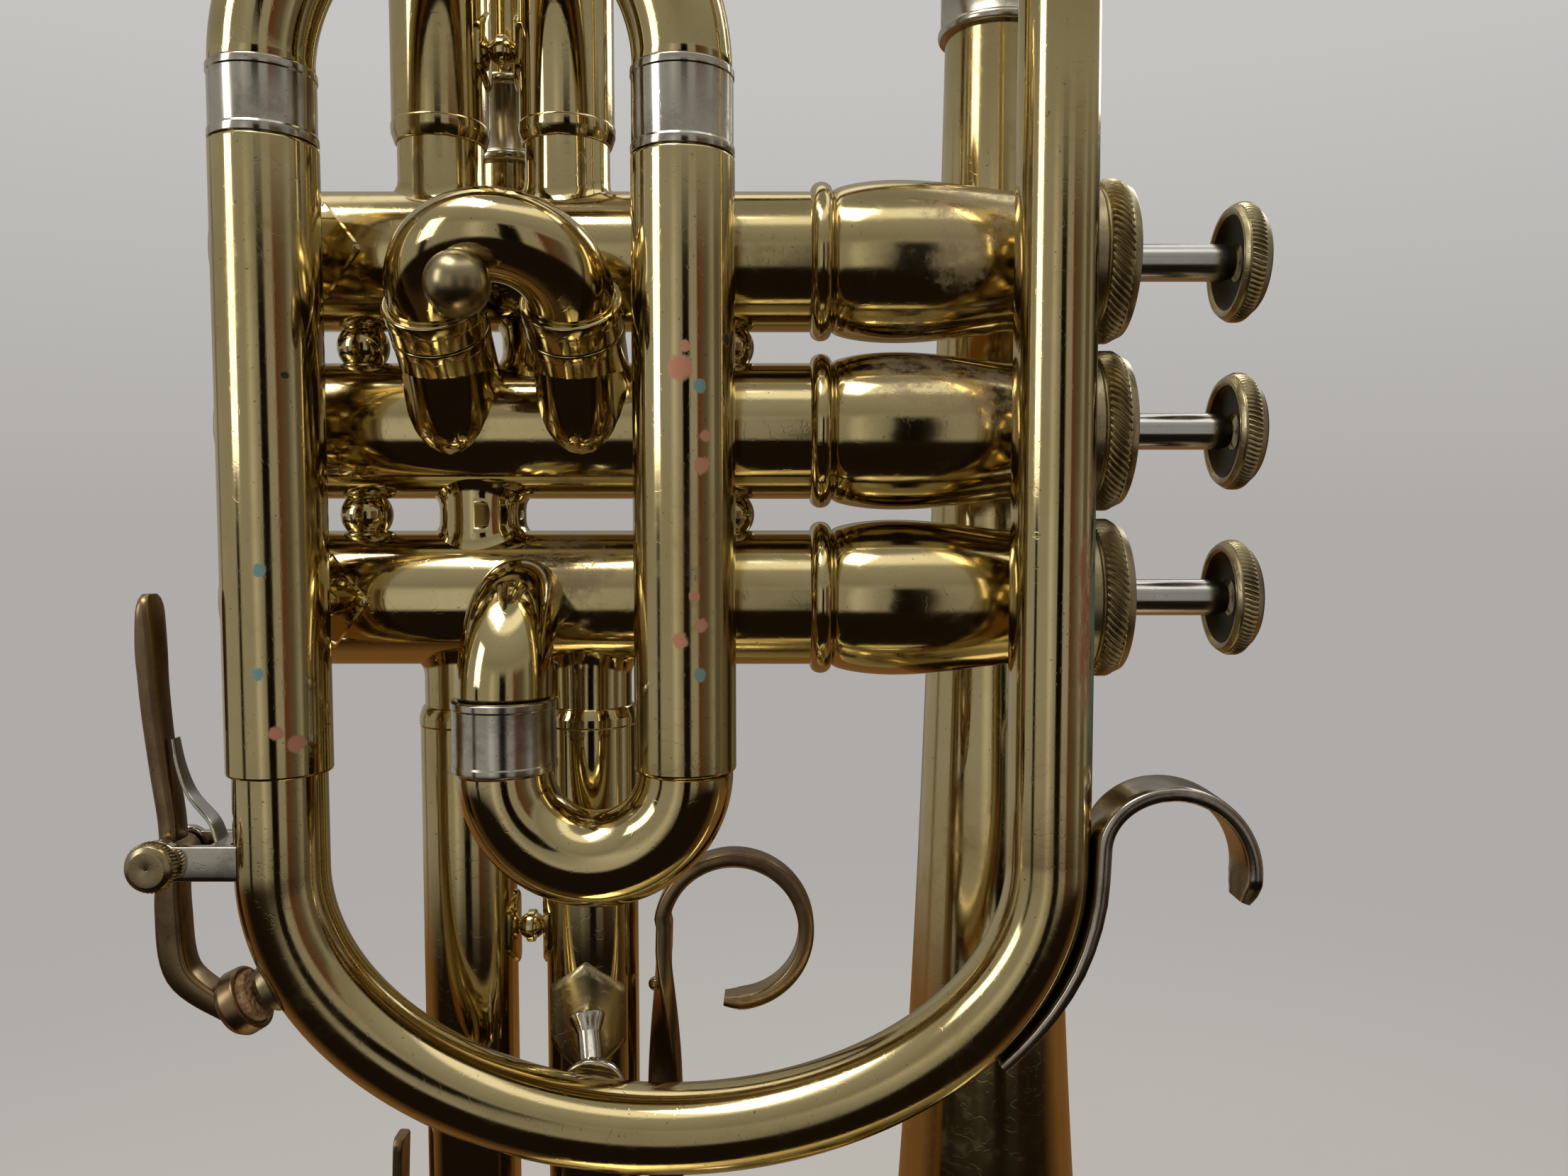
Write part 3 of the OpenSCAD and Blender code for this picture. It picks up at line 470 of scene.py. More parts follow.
pink_spots = on_sleeve("right_sleeve", [
    (0.1, 301.9, 1.9), (0.7, 304.6, 0.9), (3.4, 293.1, 0.9), (2.9, 289.2, 1.3), (1.8, 272.1, 0.9),
    (2.6, 268.2, 1.1),
    (-0.1, 266.2, 1.2), (3.2, 244.8, 1.2)]) + on_sleeve("left_sleeve", [(2.4, 253.8, 1.1), (4.6, 252.2, 1.3)])
blue_spots = on_sleeve("right_sleeve", [(2.7, 299.5, 1.0), (2.5, 261.6, 1.0)])
blue_spots += on_sleeve("left_sleeve", [(0.9, 275.5, 1.0), (0.3, 261.7, 1.0)])
dark_spots = on_sleeve("right_sleeve", [(6.0, 305.9, 1.0)]) + on_sleeve("left_sleeve", [(4.3, 301.0, 0.7)])
SPOTS = [(pink_spots, (0.62, 0.27, 0.17), 0.45), (blue_spots, (0.20, 0.36, 0.36), 0.5),
         (dark_spots, (0.05, 0.03, 0.02), 0.4)]

brass = metal("brass_lacquer", BRASS, 0.055, 0.07, 0.30, BRASS_TINT)
brass_spotted = metal("brass_spotted", BRASS, 0.06, 0.09, 0.35, BRASS_TINT, spots=SPOTS)
valve_front_y = low("valve_casing_1").y
worn_places = [
    (-11.6, valve_front_y + 1.5, 325.8, 7.0), (-12.4, valve_front_y, 319.0, 5.0),
    (-17.5, valve_front_y + 3.5, 304.2, 8.5),
    (-8.0, valve_front_y + 2.0, 300.5, 6.5), (-9.0, valve_front_y + 3.5, 328.5, 8.0),
    (-84.0, valve_front_y + 4.0, 329.0, 8.0),
    (-70.0, valve_front_y + 2.5, 276.0, 8.0)]
brass_valves = metal("brass_valves", BRASS, 0.06, 0.10, 0.45, BRASS_TINT, spots=[
    (worn_places, (0.36, 0.26, 0.15), 0.30)])
STREAKS = [((1.6, 3.2, 252, 292), (0.36, 0.13, 0.06), 0.45), ((4.0, 5.0, 244, 288), (0.12, 0.24, 0.17), 0.6)]
brass_bell = metal("brass_bell", BRASS, 0.07, 0.10, 0.35, BRASS_TINT, bump=0.06)
brass_aged = metal("brass_aged", (0.44, 0.37, 0.22), 0.16, 0.22, 0.6, (0.31, 0.25, 0.145),
    dark=(0.13, 0.09, 0.05))
brass_caps = metal("brass_caps", (0.55, 0.47, 0.29), 0.24, 0.2, 0.5, (0.43, 0.36, 0.22), bump=0.22,
                   dark=(0.24, 0.19, 0.11))
# Near-black brass for the button recesses: partly their tarnish, partly painted shade for the occlusion
# inside the hollow.
tarnish_and_painted_shade = metal("tarnish_and_painted_shade", (0.045, 0.032, 0.016), 0.4, 0.2, 0.5, (0.03, 0.02, 0.01))
brass_tarnish = metal("brass_tarnished", (0.33, 0.235, 0.13), 0.22, 0.2, 0.7, (0.22, 0.14, 0.08),
                      dark=(0.10, 0.05, 0.04))
nickel = metal("nickel_silver", (0.62, 0.585, 0.53), 0.10, 0.14, 0.4, (0.50, 0.455, 0.38),
    dark=(0.22, 0.18, 0.13))
nickel_dull = metal("nickel_dull", (0.54, 0.49, 0.44), 0.15, 0.16, 0.5, (0.43, 0.37, 0.32),
    dark=(0.20, 0.15, 0.12))
steel = metal("steel", (0.62, 0.61, 0.60), 0.14, 0.12, 0.3, (0.5, 0.48, 0.46), grain=(0.1, 1, 1))
piston_metal = metal("piston_metal", (0.60, 0.57, 0.53), 0.18, 0.12, 0.3, (0.52, 0.47, 0.42),
    grain=(0.1, 1, 1))


def pearl_material():
    mat, net, shader = new_material("pearl_shell")
    bands = net.noise(160, 3, 0.5, (1, 1, 2.2), 3.3)
    color = net.mix(net.steps(bands, 0.35, 0.65), (0.80, 0.79, 0.75), (0.62, 0.66, 0.66))
    color = net.mix(net.steps(net.noise(90, 4, seed=5.5), 0.5, 0.75, 0, 0.5), color, (0.78, 0.66, 0.62))
    roughness = net.steps(bands, 0.3, 0.7, 0.12, 0.28)
    net.feed(shader, {"Base Color": color, "Roughness": roughness, "Coat Weight": 0.6,
        "Coat Roughness": 0.06})
    return mat


def cork_material():
    mat, net, shader = new_material("cork")
    cells = net.put("TexVoronoi", {"Vector": net.place, "Scale": 1400.0}).outputs["Distance"]
    grains = net.noise(900, 5, 0.7, seed=6.0)
    color = net.mix(net.steps(grains, 0.4, 0.65), (0.42, 0.25, 0.12), (0.17, 0.09, 0.04))
    relief = net.put("Bump", {"Height": cells, "Strength": 0.6, "Distance": 0.0004})
    net.feed(shader, {"Base Color": color, "Roughness": 0.85, "Normal": relief.outputs["Normal"]})
    return mat


def guide_material():
    mat, net, shader = new_material("guide_nylon")
    color = net.mix(net.noise(500, 3), (0.62, 0.58, 0.50), (0.44, 0.40, 0.33))
    roughness = net.steps(net.noise(260, 3), 0.3, 0.7, 0.35, 0.55)
    net.feed(shader, {"Base Color": color, "Roughness": roughness})
    return mat


pearl = pearl_material()
cork = cork_material()
guide = guide_material()


# ---- Bell ----

LACQUER, SATIN, TARNISH = "lacquered_brass", "satin_brass", "tarnished_brass"
NICKEL, STEEL = "nickel_silver", "stem_steel"
WALL = 0.7
CASING_R, BORE_R = 10.35, 8.7
valve_y = centre("valve_casing_1").y
valve_z = [centre(f"valve_casing_{k}").z for k in (1, 2, 3)]
slide_y = centre("left_sleeve").y
lead_y = centre("leadpipe").y
bell_top = high("bell").z
RIM_WIRE_R = 1.6
mouth_r = high("bell").x - RIM_WIRE_R
RIM_Z = 1.95
FLARE_SHIFT, FLARE_POWER = 8.2, 0.7


def bell_r(z):
    return mouth_r * (FLARE_SHIFT / (z - RIM_Z + FLARE_SHIFT)) ** FLARE_POWER


def bell_outline():
    heights = [RIM_Z + (bell_top - RIM_Z) * (i / 150) ** 2.2 for i in range(151)]
    outer, inner = [], []
    for z in heights:
        slope = -FLARE_POWER * bell_r(z) / (z - RIM_Z + FLARE_SHIFT)
        n = Vector((1, -slope)).normalized()
        outer.append((bell_r(z), z))
        inner.append((bell_r(z) - WALL * n.x, z - WALL * n.y))
    return outer + inner[::-1]


def ring_outline(radius, height, wire, count=20):
    return [(radius + wire * cos(TAU * k / count), height + wire * sin(TAU * k / count))
        for k in range(count)]


bell = Shape()
lathe(bell, bell_outline(), (0, 0, 0), UP, 200)
lathe(bell, ring_outline(mouth_r, RIM_WIRE_R, RIM_WIRE_R), (0, 0, 0), UP, 200)
bell.piece("bell_spun", "body", brass_bell, LACQUER, ["bell"])

BELL_END_R, TAIL_R = 9.1, 6.8
REAR_LIFT, REAR_STEPS = 1.5, 72
tail_x, tail_y = centre("bell_tail").x, -8.0
rear_r = hypot(tail_x, tail_y) / 2
rear_dir = Vector((tail_x, tail_y, 0)).normalized()
rear_mid = rear_dir * rear_r + Vector((0, 0, bell_top + REAR_LIFT))
rear_path = [(0, 0, bell_top - 4), (0, 0, bell_top - 2)]
rear_path += arc(rear_mid, -rear_dir * rear_r, (0, 0, rear_r), 180, REAR_STEPS)
rear_path += [(tail_x, tail_y, bell_top - 6), (tail_x, tail_y, low("rear_bow").z)]
rear_radii = [BELL_END_R] * 2
rear_radii += [BELL_END_R - (BELL_END_R - TAIL_R) * i / REAR_STEPS for i in range(REAR_STEPS + 1)]
rear_radii += [TAIL_R] * 2
rear = Shape()
tube(rear, rear_path, rear_radii, WALL, side=(-tail_y, tail_x, 0), around=64)
rear.piece("rear_bow_drawn", "body", brass, LACQUER, ["rear_bow"])


def ferrule_outline(r_in, r_out, z0, z1, bead=0.7, bead_w=1.7):
    """A sleeve with a rolled bead at each end."""
    half = bead_w / 2

    def roll(z):
        angles = [radians(a) for a in np.linspace(-90, 90, 9)]
        return [(r_out + bead * cos(a) * 0.6 + 0.1, z + half * sin(a)) for a in angles]

    outline = [(r_in, z0), (r_out + bead * 0.2, z0)] + roll(z0 + half) + [(r_out, z0 + bead_w + 0.15)]
    outline += [(r_out, z1 - bead_w - 0.15)] + roll(z1 - half)
    return outline + [(r_out + bead * 0.2, z1), (r_in, z1)]


ferrules = Shape()
FERRULE_WALL = 0.75
tail_ferrule_z = low("rear_bow_ferrules").z
big = ferrule_outline(BELL_END_R, BELL_END_R + FERRULE_WALL, bell_top - 6, bell_top + 6)
small = ferrule_outline(TAIL_R, TAIL_R + FERRULE_WALL, tail_ferrule_z, tail_ferrule_z + 14)
lathe(ferrules, big, (0, 0, 0), UP)
lathe(ferrules, small, (tail_x, tail_y, 0), UP)
ferrules.piece("rear_ferrules_turned", "body", nickel, NICKEL, ["rear_bow_ferrules"])

tail_bend = tail_y - valve_y - CASING_R + 0.5
tail_mid = Vector((tail_x, tail_y - tail_bend, valve_z[0] + tail_bend))
tail_path = line((tail_x, tail_y, high("bell_tail").z), (tail_x, tail_y, tail_mid.z + 0.01), 3)
tail_path += arc(tail_mid, (0, tail_bend, 0), (0, 0, -tail_bend), 90, 20)
tail = Shape()
tube(tail, tail_path, TAIL_R, WALL, side=ALONG_X, around=56)
tail.piece("bell_tail_drawn", "body", brass, LACQUER, ["bell_tail"])


# ---- Braces between valves and bell ----

brace_x = centre("bell_braces").x
bell_braces = Shape()
for k in (0, 2):
    z = valve_z[k]
    front, back = valve_y + CASING_R + 0.25, -bell_r(z) + 0.5
    foot = [(AXIS, 0), (4.3, 0), (4.5, 0.5), (4.2, 1.1), (2.6, 1.7), (1.9, 2.6), (1.7, 3.6)]
    reach = back - front
    other_foot = [(r, reach - h) for r, h in foot[::-1]]
    lathe(bell_braces, foot + [(2.1, reach / 2)] + other_foot, (brace_x, front, z), ALONG_Y, 48, closed=False)
bell_braces.piece("bell_braces_turned", "body", brass, LACQUER, ["bell_braces"])


# ---- Leadpipe, receiver and the front branch ----

def polished_tube(name, path, radii, material, nodes_for, side=ALONG_Y, around=64, lip=True):
    shape = Shape()
    tube(shape, path, radii, WALL, side, around, lip)
    return shape.piece(name, "body", material, LACQUER, nodes_for)


lead_x = centre("leadpipe").x
BOW_END_Z = 233.5
lead_path = line((lead_x, lead_y, BOW_END_Z + 0.9), (lead_x, lead_y, high("leadpipe").z), 40)
lead_radii = [5.9 - 0.5 * min(max((p[2] - 262) / 140, 0), 1) for p in lead_path]
lead_material = metal("brass_leadpipe", BRASS, 0.06, 0.08, 0.3, BRASS_TINT, streaks=STREAKS)
polished_tube("leadpipe_drawn", lead_path, lead_radii, lead_material, ["leadpipe"], lip=False)

rec_low, rec_high = low("receiver").z, high("receiver").z
rec_outline = shifted([(5.45, 0), (6.1, 0), (6.4, 1.2), (6.2, 2.4)], rec_low)
rec_outline += shifted([
    (6.2, -20), (6.9, -18.5), (6.9, -16.5), (6.3, -15.5), (6.3, -6), (7.6, -5), (7.6, -1), (6.9, 0), (5.3, 0),
    (4.95, -0.6), (4.95, -24), (4.6, -24.2)], rec_high)
receiver = Shape()
turned(receiver, rec_outline + [(4.6, rec_low)], 0.4, (lead_x, lead_y, 0), UP)
receiver.piece("receiver_turned", "body", nickel, NICKEL, ["receiver"])

left_x = centre("left_sleeve").x
right_x = centre("right_sleeve").x
bow_half = (lead_x - left_x) / 2
BOW_DROP = 38.0


def bow_point(a):
    t = radians(a)
    return Vector((left_x / 2 + lead_x / 2 - bow_half * cos(t), slide_y + (lead_y - slide_y) * a / 180,
                   BOW_END_Z - BOW_DROP * sin(t)))


def bow_radius(a):
    return 6.25 - 0.35 * a / 180


def bow_out(a):
    """Unit direction square to the front bow, outward and in its plane."""
    t = radians(a)
    return Vector((-cos(t) / bow_half, 0, -sin(t) / BOW_DROP)).normalized()


bow_angles = np.linspace(0, 180, 91)
bow_path = line((left_x, slide_y, high("front_bow").z), (left_x, slide_y, BOW_END_Z + 0.8), 8)
bow_path += [bow_point(a) for a in bow_angles] + [Vector((lead_x, lead_y, BOW_END_Z + 0.9))]
bow_radii = [bow_radius(0)] * 8 + [bow_radius(a) for a in bow_angles] + [bow_radius(180)]
polished_tube("front_bow_drawn", bow_path, bow_radii, brass_spotted, ["front_bow"], around=72, lip=False)


def sleeve(name, node):
    """A straight outer sleeve with a slightly rolled lip at either end."""
    c, r = centre(node), width(node).x / 2
    z0, z1 = low(node).z, high(node).z
    outline = [(r - WALL, z0), (r - 0.1, z0), (r, z0 + 0.35), (r, z1 - 0.35), (r - 0.1, z1), (r - WALL, z1)]
    shape = Shape()
    turned(shape, outline, 0.25, (c.x, c.y, 0), UP)
    shape.piece(name, "body", brass_spotted, LACQUER, [node])


sleeve("left_sleeve_drawn", "left_sleeve")
sleeve("right_sleeve_drawn", "right_sleeve")

small_x = centre("small_bow_ferrule").x
small_r = (right_x - small_x) / 2
small_z = high("small_bow").z
small_mid = ((right_x + small_x) / 2, slide_y, small_z)
small_path = arc(small_mid, (small_r, 0, 0), (0, 0, -small_r), 180, 48)
polished_tube("small_bow_drawn", small_path, 6.6, brass, ["small_bow"])
sf_low, sf_high = low("small_bow_ferrule").z, high("small_bow_ferrule").z
lip = [(6.9, 0), (7.2, 0.25), (7.2, 1.1), (7.08, 1.3)]
sf_top = [(r, sf_high - h) for r, h in lip[::-1]]
sf_outline = [(6.0, sf_low)] + shifted(lip, sf_low) + sf_top + [(6.0, sf_high)]
small_ferrule = Shape()
turned(small_ferrule, sf_outline, 0.12, (small_x, slide_y, 0), UP)
small_ferrule.piece("small_ferrule_turned", "body", nickel, NICKEL, ["small_bow_ferrule"])
elbow_r = valve_z[2] - sf_high
elbow_mid = Vector((small_x, slide_y + elbow_r, sf_high))
elbow_path = arc(elbow_mid, (0, -elbow_r, 0), (0, 0, elbow_r), 90, 20)
polished_tube("elbow_drawn", elbow_path, 6.4, brass, ["elbow"], side=ALONG_X)


# ---- Valve casings, caps, buttons ----

low_x, high_x = low("valve_casing_1").x, high("valve_casing_1").x
bead_mid = low_x + 86.1
swell_from, swell_to = low_x + 88, low_x + 114.5


def casing_outline():
    """Outside from the low end to the button end, then the bore back."""
    out = [(BORE_R, low_x), (CASING_R, low_x), (CASING_R, bead_mid - 2.0)]
    for a in np.linspace(-90, 90, 13):
        out.append((CASING_R + 1.4 * cos(radians(a)), bead_mid + 1.65 * sin(radians(a))))
    for i in range(41):
        f = i / 40
        grow = sin(pi * f ** 0.72) * 1.5
        out.append((CASING_R + max(0, grow) + 0.25 * (1 - f), swell_from + f * (swell_to - swell_from)))
    out += [(CASING_R + 0.02, swell_to + 0.7), (CASING_R, high_x), (BORE_R, high_x)]
    return out


for k in (1, 2, 3):
    base = (0, valve_y, valve_z[k - 1])
    casing = Shape()
    lathe(casing, casing_outline(), base, ALONG_X, 128)
    casing.piece(f"casing_{k}_turned", "body", brass_valves, LACQUER, [f"valve_casing_{k}"], sharp=50)


def knurl(shape, base, direction, r_base, r_tip, h0, h1, teeth, slant):
    """A band of slanted teeth about an axis, with a plain inner wall sunk in the body under it."""
    d, u, v = basis(direction)
    base = Vector(base)
    rows, per = 5, 4
    count = teeth * per
    verts = []
    for i in range(rows + 2):
        f = min(max((i - 1) / (rows - 1), 0), 1)
        h = h0 + (h1 - h0) * f
        for j in range(count):
            tooth = j % per
            rise = (0.0, 0.75, 1.0, 0.75)[tooth]
            r = r_base + (r_tip - r_base) * rise
            if i in (0, rows + 1):
                r = r_base - 0.3
            elif i in (1, rows):
                r = r_base + (r - r_base) * 0.45
            a = TAU * (j / count + slant * f / teeth)
            verts.append(base + d * h + (u * cos(a) + v * sin(a)) * r)
    return shape.add(verts, grid_faces(rows + 2, count, wrap_rows=True))


cap_low, cap_face = low("top_caps").x, high("top_caps").x
cap_r = width("top_caps").y / 2
SEAT_X = 9.4
top_outline = [(CASING_R, cap_low)] + shifted([
    (10.9, 0), (11.2, 0.5), (11.25, 8.6), (10.9, 9.0), (11.5, 9.6)], cap_low)
top_outline += shifted([
    (11.5, -2.0), (11.75, -1.7), (11.2, -0.5), (9.6, -0.15), (6.3, 0), (5.9, -0.5), (4.4, -0.5), (4.0, 0),
    (3.2, 0)],
    cap_face)
top_outline += [(3.2, SEAT_X), (BORE_R, SEAT_X), (BORE_R, high_x), (CASING_R, high_x)]
bottom_high = high("bottom_caps").x
bottom_outline = [(CASING_R, bottom_high), (11.3, bottom_high)] + shifted([
    (11.3, 2.4), (11.0, 2.0), (11.3, 1.6), (11.4, -1.3), (11, -2.2), (8.5, -2.9), (5, -3.4), (4.2, -3.7),
    (2.2, -3.7),
    (1.9, -3.0), (AXIS, -3.0), (AXIS, -1.5), (CASING_R - 1, -1.2), (CASING_R, 0)], low_x)
top_caps, bottom_caps = Shape(), Shape()
for z in valve_z:
    base = (0, valve_y, z)
    turned(top_caps, top_outline, 0.3, base, ALONG_X)
    knurl(top_caps, base, ALONG_X, 11.3, cap_r, cap_low + 9.2, cap_low + 12.4, 66, 2.6)
    turned(bottom_caps, bottom_outline, 0.3, base, ALONG_X)
    knurl(bottom_caps, base, ALONG_X, 11.2, 12.0, low_x - 1.4, low_x + 1.8, 84, 2.0)
top_caps.piece("top_caps_turned", "body", brass_caps, SATIN, ["top_caps"], sharp=35)
bottom_caps.piece("bottom_caps_turned", "body", brass_caps, SATIN, ["bottom_caps"], sharp=35)

button_x = low("button_1").x
PEARL_SEAT, PEARL_R = 3.2, 6.5
button_r = width("button_1").y / 2
for k in (1, 2, 3):
    base, body = (0, valve_y, valve_z[k - 1]), f"valve_{k}"
    stem_low, stem_high = low(f"stem_{k}").x, high(f"stem_{k}").x
    stem = Shape()
    stem_outline = shifted([(AXIS, 0), (5.5, 0), (5.5, 2.0), (5.2, 2.2), (2.9, 2.6), (2.8, 3.2)], stem_low)
    stem_outline += shifted([(2.8, -1.5), (2.4, 0), (AXIS, 0)], stem_high)
    turned(stem, stem_outline, 0.25, base, ALONG_X, 64)
    stem.piece(f"stem_{k}_turned", body, steel, STEEL, [f"stem_{k}"])
    foot = (button_x, valve_y, valve_z[k - 1])
    button = Shape()
    turned(button, [
        (2.8, 1.8), (4.6, 1.8), (6.2, 1.2), (7.1, 0.3), (7.5, 0), (8.0, 0), (8.5, 0.6), (8.5, 1.1),
        (8.55, 2.8),
        (8.4, 3.2), (7.6, 4.1), (6.9, 4.6), (6.58, 4.3), (6.58, PEARL_SEAT), (AXIS, PEARL_SEAT), (AXIS, 2.2),
        (2.8, 2.2)], 0.2, foot, ALONG_X)
    knurl(button, foot, ALONG_X, 8.5, button_r, 0.9, 3.0, 72, 1.0)
    button.piece(f"button_{k}_turned", body, brass_caps, SATIN, [f"button_{k}"], sharp=35)
    # A dark lining in each button's hollow: the tarnish there, and painted shade where the recess is
    # occluded.
    hollow = Shape()
    lathe(hollow, [(2.85, 1.65), (4.6, 1.65), (6.2, 1.05), (6.95, 0.3), (7.05, 0.42), (6.3, 1.2), (4.7, 1.8),
        (2.85, 1.8)],
          foot, ALONG_X)
    hollow.piece(f"button_{k}_hollow", body, tarnish_and_painted_shade, SATIN)
    disc = Shape()
    dome = [(PEARL_R * cos(t), 1.1 + 0.95 * sin(t)) for t in np.linspace(0, pi / 2 - 0.01, 14)]
    pearl_outline = shifted([(AXIS, 0), (PEARL_R, 0)] + dome + [(AXIS, 2.05)], PEARL_SEAT)
    lathe(disc, pearl_outline, foot, ALONG_X, 72)
    disc.piece(f"pearl_{k}_ground", body, pearl, "pearl", [f"pearl_{k}"], sharp=60)


# ---- Tubes between the valves, and their braces ----

def leg_to_casing(shape, x, r, far_z, casing_z):
    """A vertical tube from far_z to the casing at casing_z, cut to its round and flared like solder."""
    way = 1 if far_z > casing_z else -1
    verts, turns = [], 72
    rows = ((r + 0.8, -0.25), (r + 0.35, 0.35), (r + 0.1, 0.9), (r, 1.7), (r, None), (r - WALL, None),
        (r - WALL, 0.4))
    for radius, rise in rows:
        for j in range(turns):
            a = TAU * j / turns
            dx, dy = radius * cos(a), radius * sin(a)
            cut = sqrt(CASING_R ** 2 - dy * dy)
            verts.append((x + dx, valve_y + dy, far_z if rise is None else casing_z + way * (cut + rise)))
    return shape.add(verts, grid_faces(len(rows), turns, wrap_rows=True))


links = Shape()
LINK_12_X, LINK_23_X = centre("port_tubes").x + 5, centre("port_tubes").x - 5
for x, k in ((LINK_12_X, 0), (LINK_23_X, 1)):
    half_way = (valve_z[k] + valve_z[k + 1]) / 2
    for z in (valve_z[k + 1], valve_z[k]):
        leg_to_casing(links, x, 6.5, half_way, z)
links.piece("valve_links_drawn", "body", brass, LACQUER, ["port_tubes"])

spacers = Shape()
spacer_low, spacer_high = low("casing_spacers").x + 4, high("casing_spacers").x - 4
for x in (spacer_low, spacer_high):
    for k in (0, 1):
        mid = Vector((x, valve_y, (valve_z[k] + valve_z[k + 1]) / 2))
        ball(spacers, mid, 3.9)
        for way in (1, -1):
            turned(spacers, [
                (AXIS, -1.2), (2.6, -1.2), (2.0, 0.6), (2.2, 2.2), (3.8, 2.9), (3.8, 3.6), (AXIS, 3.6)], 0.3,
                mid, (0, 0, way), 40, closed=False)
spacers.piece("casing_spacers_turned", "body", brass, LACQUER, ["casing_spacers"])


PLATE_ROWS = 8


def saddle_plate(shape, axis_point, direction, radius, outline, lift=0.8, facing=(0, -1, 0)):
    """A thin plate wrapped on a cylinder. outline gives (along, around) in mm from the plate's centre."""
    d = Vector(direction).normalized()
    out = Vector(facing).normalized()
    side = d.cross(out).normalized()
    axis_point = Vector(axis_point)

    def row(size, height):
        points = []
        for a, b in outline:
            turn = b * size / radius
            points.append(axis_point + d * a * size
                + (out * cos(turn) + side * sin(turn)) * (radius + height))
        return points

    inward = [1 - i / (PLATE_ROWS + 0.4) for i in range(PLATE_ROWS + 1)]
    rows = [row(f, -0.15) for f in inward[::-1]] + [row(1, lift * 0.55)]
    rows += [row(0.93 * f, lift) for f in inward]
    count = len(outline)
    faces = grid_faces(len(rows), count)
    faces.append(tuple(range(count - 1, -1, -1)))
    faces.append(tuple((len(rows) - 1) * count + j for j in range(count)))
    return shape.add([v for points in rows for v in points], faces)


def fine_outline(points, corner=0.6, spacing=0.8):
    """An outline as (along, around) pairs, corners rounded, points no further apart than the spacing."""
    loop = rounded([(a, b) for a, b in points], corner, 3)
    out = []
    for i, p in enumerate(loop):
        q = loop[(i + 1) % len(loop)]
        n = max(1, int((q - p).length / spacing))
        out += [tuple(p.lerp(q, k / n)) for k in range(n)]
    return out


DIAMOND = fine_outline([(-6.2, 0), (0, -7.6), (6.2, 0), (0, 7.6)])
braces = Shape()
brace_at = centre("sleeve_braces").x
for k in (0, 2):
    saddle_plate(braces, (brace_at, valve_y, valve_z[k]), ALONG_X, CASING_R, DIAMOND, 0.75)
    reach = (valve_y - CASING_R) - (slide_y + 7.6)
    profile = [(AXIS, -0.5), (3.4, -0.5), (3.1, 0.6), (2.5, 1.5), (2.3, 3.0)]
    profile += shifted([(2.5, -1.4), (3.1, -0.6), (3.2, 0.6), (AXIS, 0.6)], reach)
    lathe(braces, profile, (left_x, valve_y - CASING_R - 0.3, valve_z[k]), (0, -1, 0), 48, closed=False)
braces.piece("sleeve_braces_cast", "body", brass, LACQUER, ["sleeve_braces"])


# ---- Valve slides ----

CROOK_R = 9.6


def leg(shape, base, direction, r, z0, z1):
    outline = rounded([(r - WALL, z0), (r - 0.12, z0), (r, z0 + 0.3), (r, z1 - 0.3), (r - 0.12, z1),
        (r - WALL, z1)], 0.2)
    return lathe(shape, outline, base, direction, 72)


def u_crook(shape, mid, out, across, r, bow_r, leg_len):
    """Two straight legs and a half-round bow. mid is the bow's centre, out points away from the valve."""
    mid, out, across = Vector(mid), Vector(out).normalized(), Vector(across).normalized()
    path = line(mid - out * leg_len - across * bow_r, mid - across * bow_r - out * 0.3, 6)
    path += arc(mid, -across * bow_r, out * bow_r, 180, 56)
    path += line(mid + across * bow_r - out * 0.3, mid - out * leg_len + across * bow_r, 6)
    third = out.cross(across)
    return tube(shape, path, r, WALL, tuple(third), 56)


LEG_R, CROOK_TUBE_R = 7.15, 6.4


def upright_slide(number, length, way, crook_body):
    """Sleeves from a casing and the crook in them, up for way 1 and down for -1. Gives the crook's centre."""
    node, crook_node = f"slide_{number}_sleeves", f"slide_{number}_crook"
    bottom, top = (low, high) if way > 0 else (high, low)
    x, mouth = centre(node).x, top(node).z
    step = mouth - way * length
    sides = (x - CROOK_R, x + CROOK_R)
    fixed = Shape()
    collar = [(6.0, -1.6), (6.7, -1.6), (7.25, 0), (7.3, 1.2), (7.1, 1.6), (6.0, 1.6)]
    for side_x in sides:
        leg(fixed, (side_x, valve_y, 0), UP, LEG_R, min(step, mouth), max(step, mouth))
        leg_to_casing(fixed, side_x, CROOK_TUBE_R, step + way, valve_z[number - 1])
        turned(fixed, [(r, step + way * h) for r, h in collar], 0.3, (side_x, valve_y, 0), UP, 72)
    fixed.piece(f"slide_{number}_sleeves_drawn", "body", brass, LACQUER, [node])
    mid = (x, valve_y, top(crook_node).z - way * (CROOK_R + CROOK_TUBE_R))
    crook = Shape()
    u_crook(crook, mid, (0, 0, way), ALONG_X, CROOK_TUBE_R, CROOK_R, abs(mid[2] - bottom(crook_node).z))
    ends = sorted((mouth + way * 0.2, mouth + way * 5.2))
    for side_x in sides:
        lathe(crook, ferrule_outline(6.35, 7.0, *ends, 0.25, 1.0), (side_x, valve_y, 0), UP, 72)
    crook.piece(f"slide_{number}_crook_drawn", crook_body, brass, LACQUER, [crook_node])
    return Vector(mid)


crook_1_mid = upright_slide(1, 58, 1, "first_slide")
crook_3_mid = upright_slide(3, 79.8, -1, "third_slide")
s1_x, s3_x = crook_1_mid.x, crook_3_mid.x

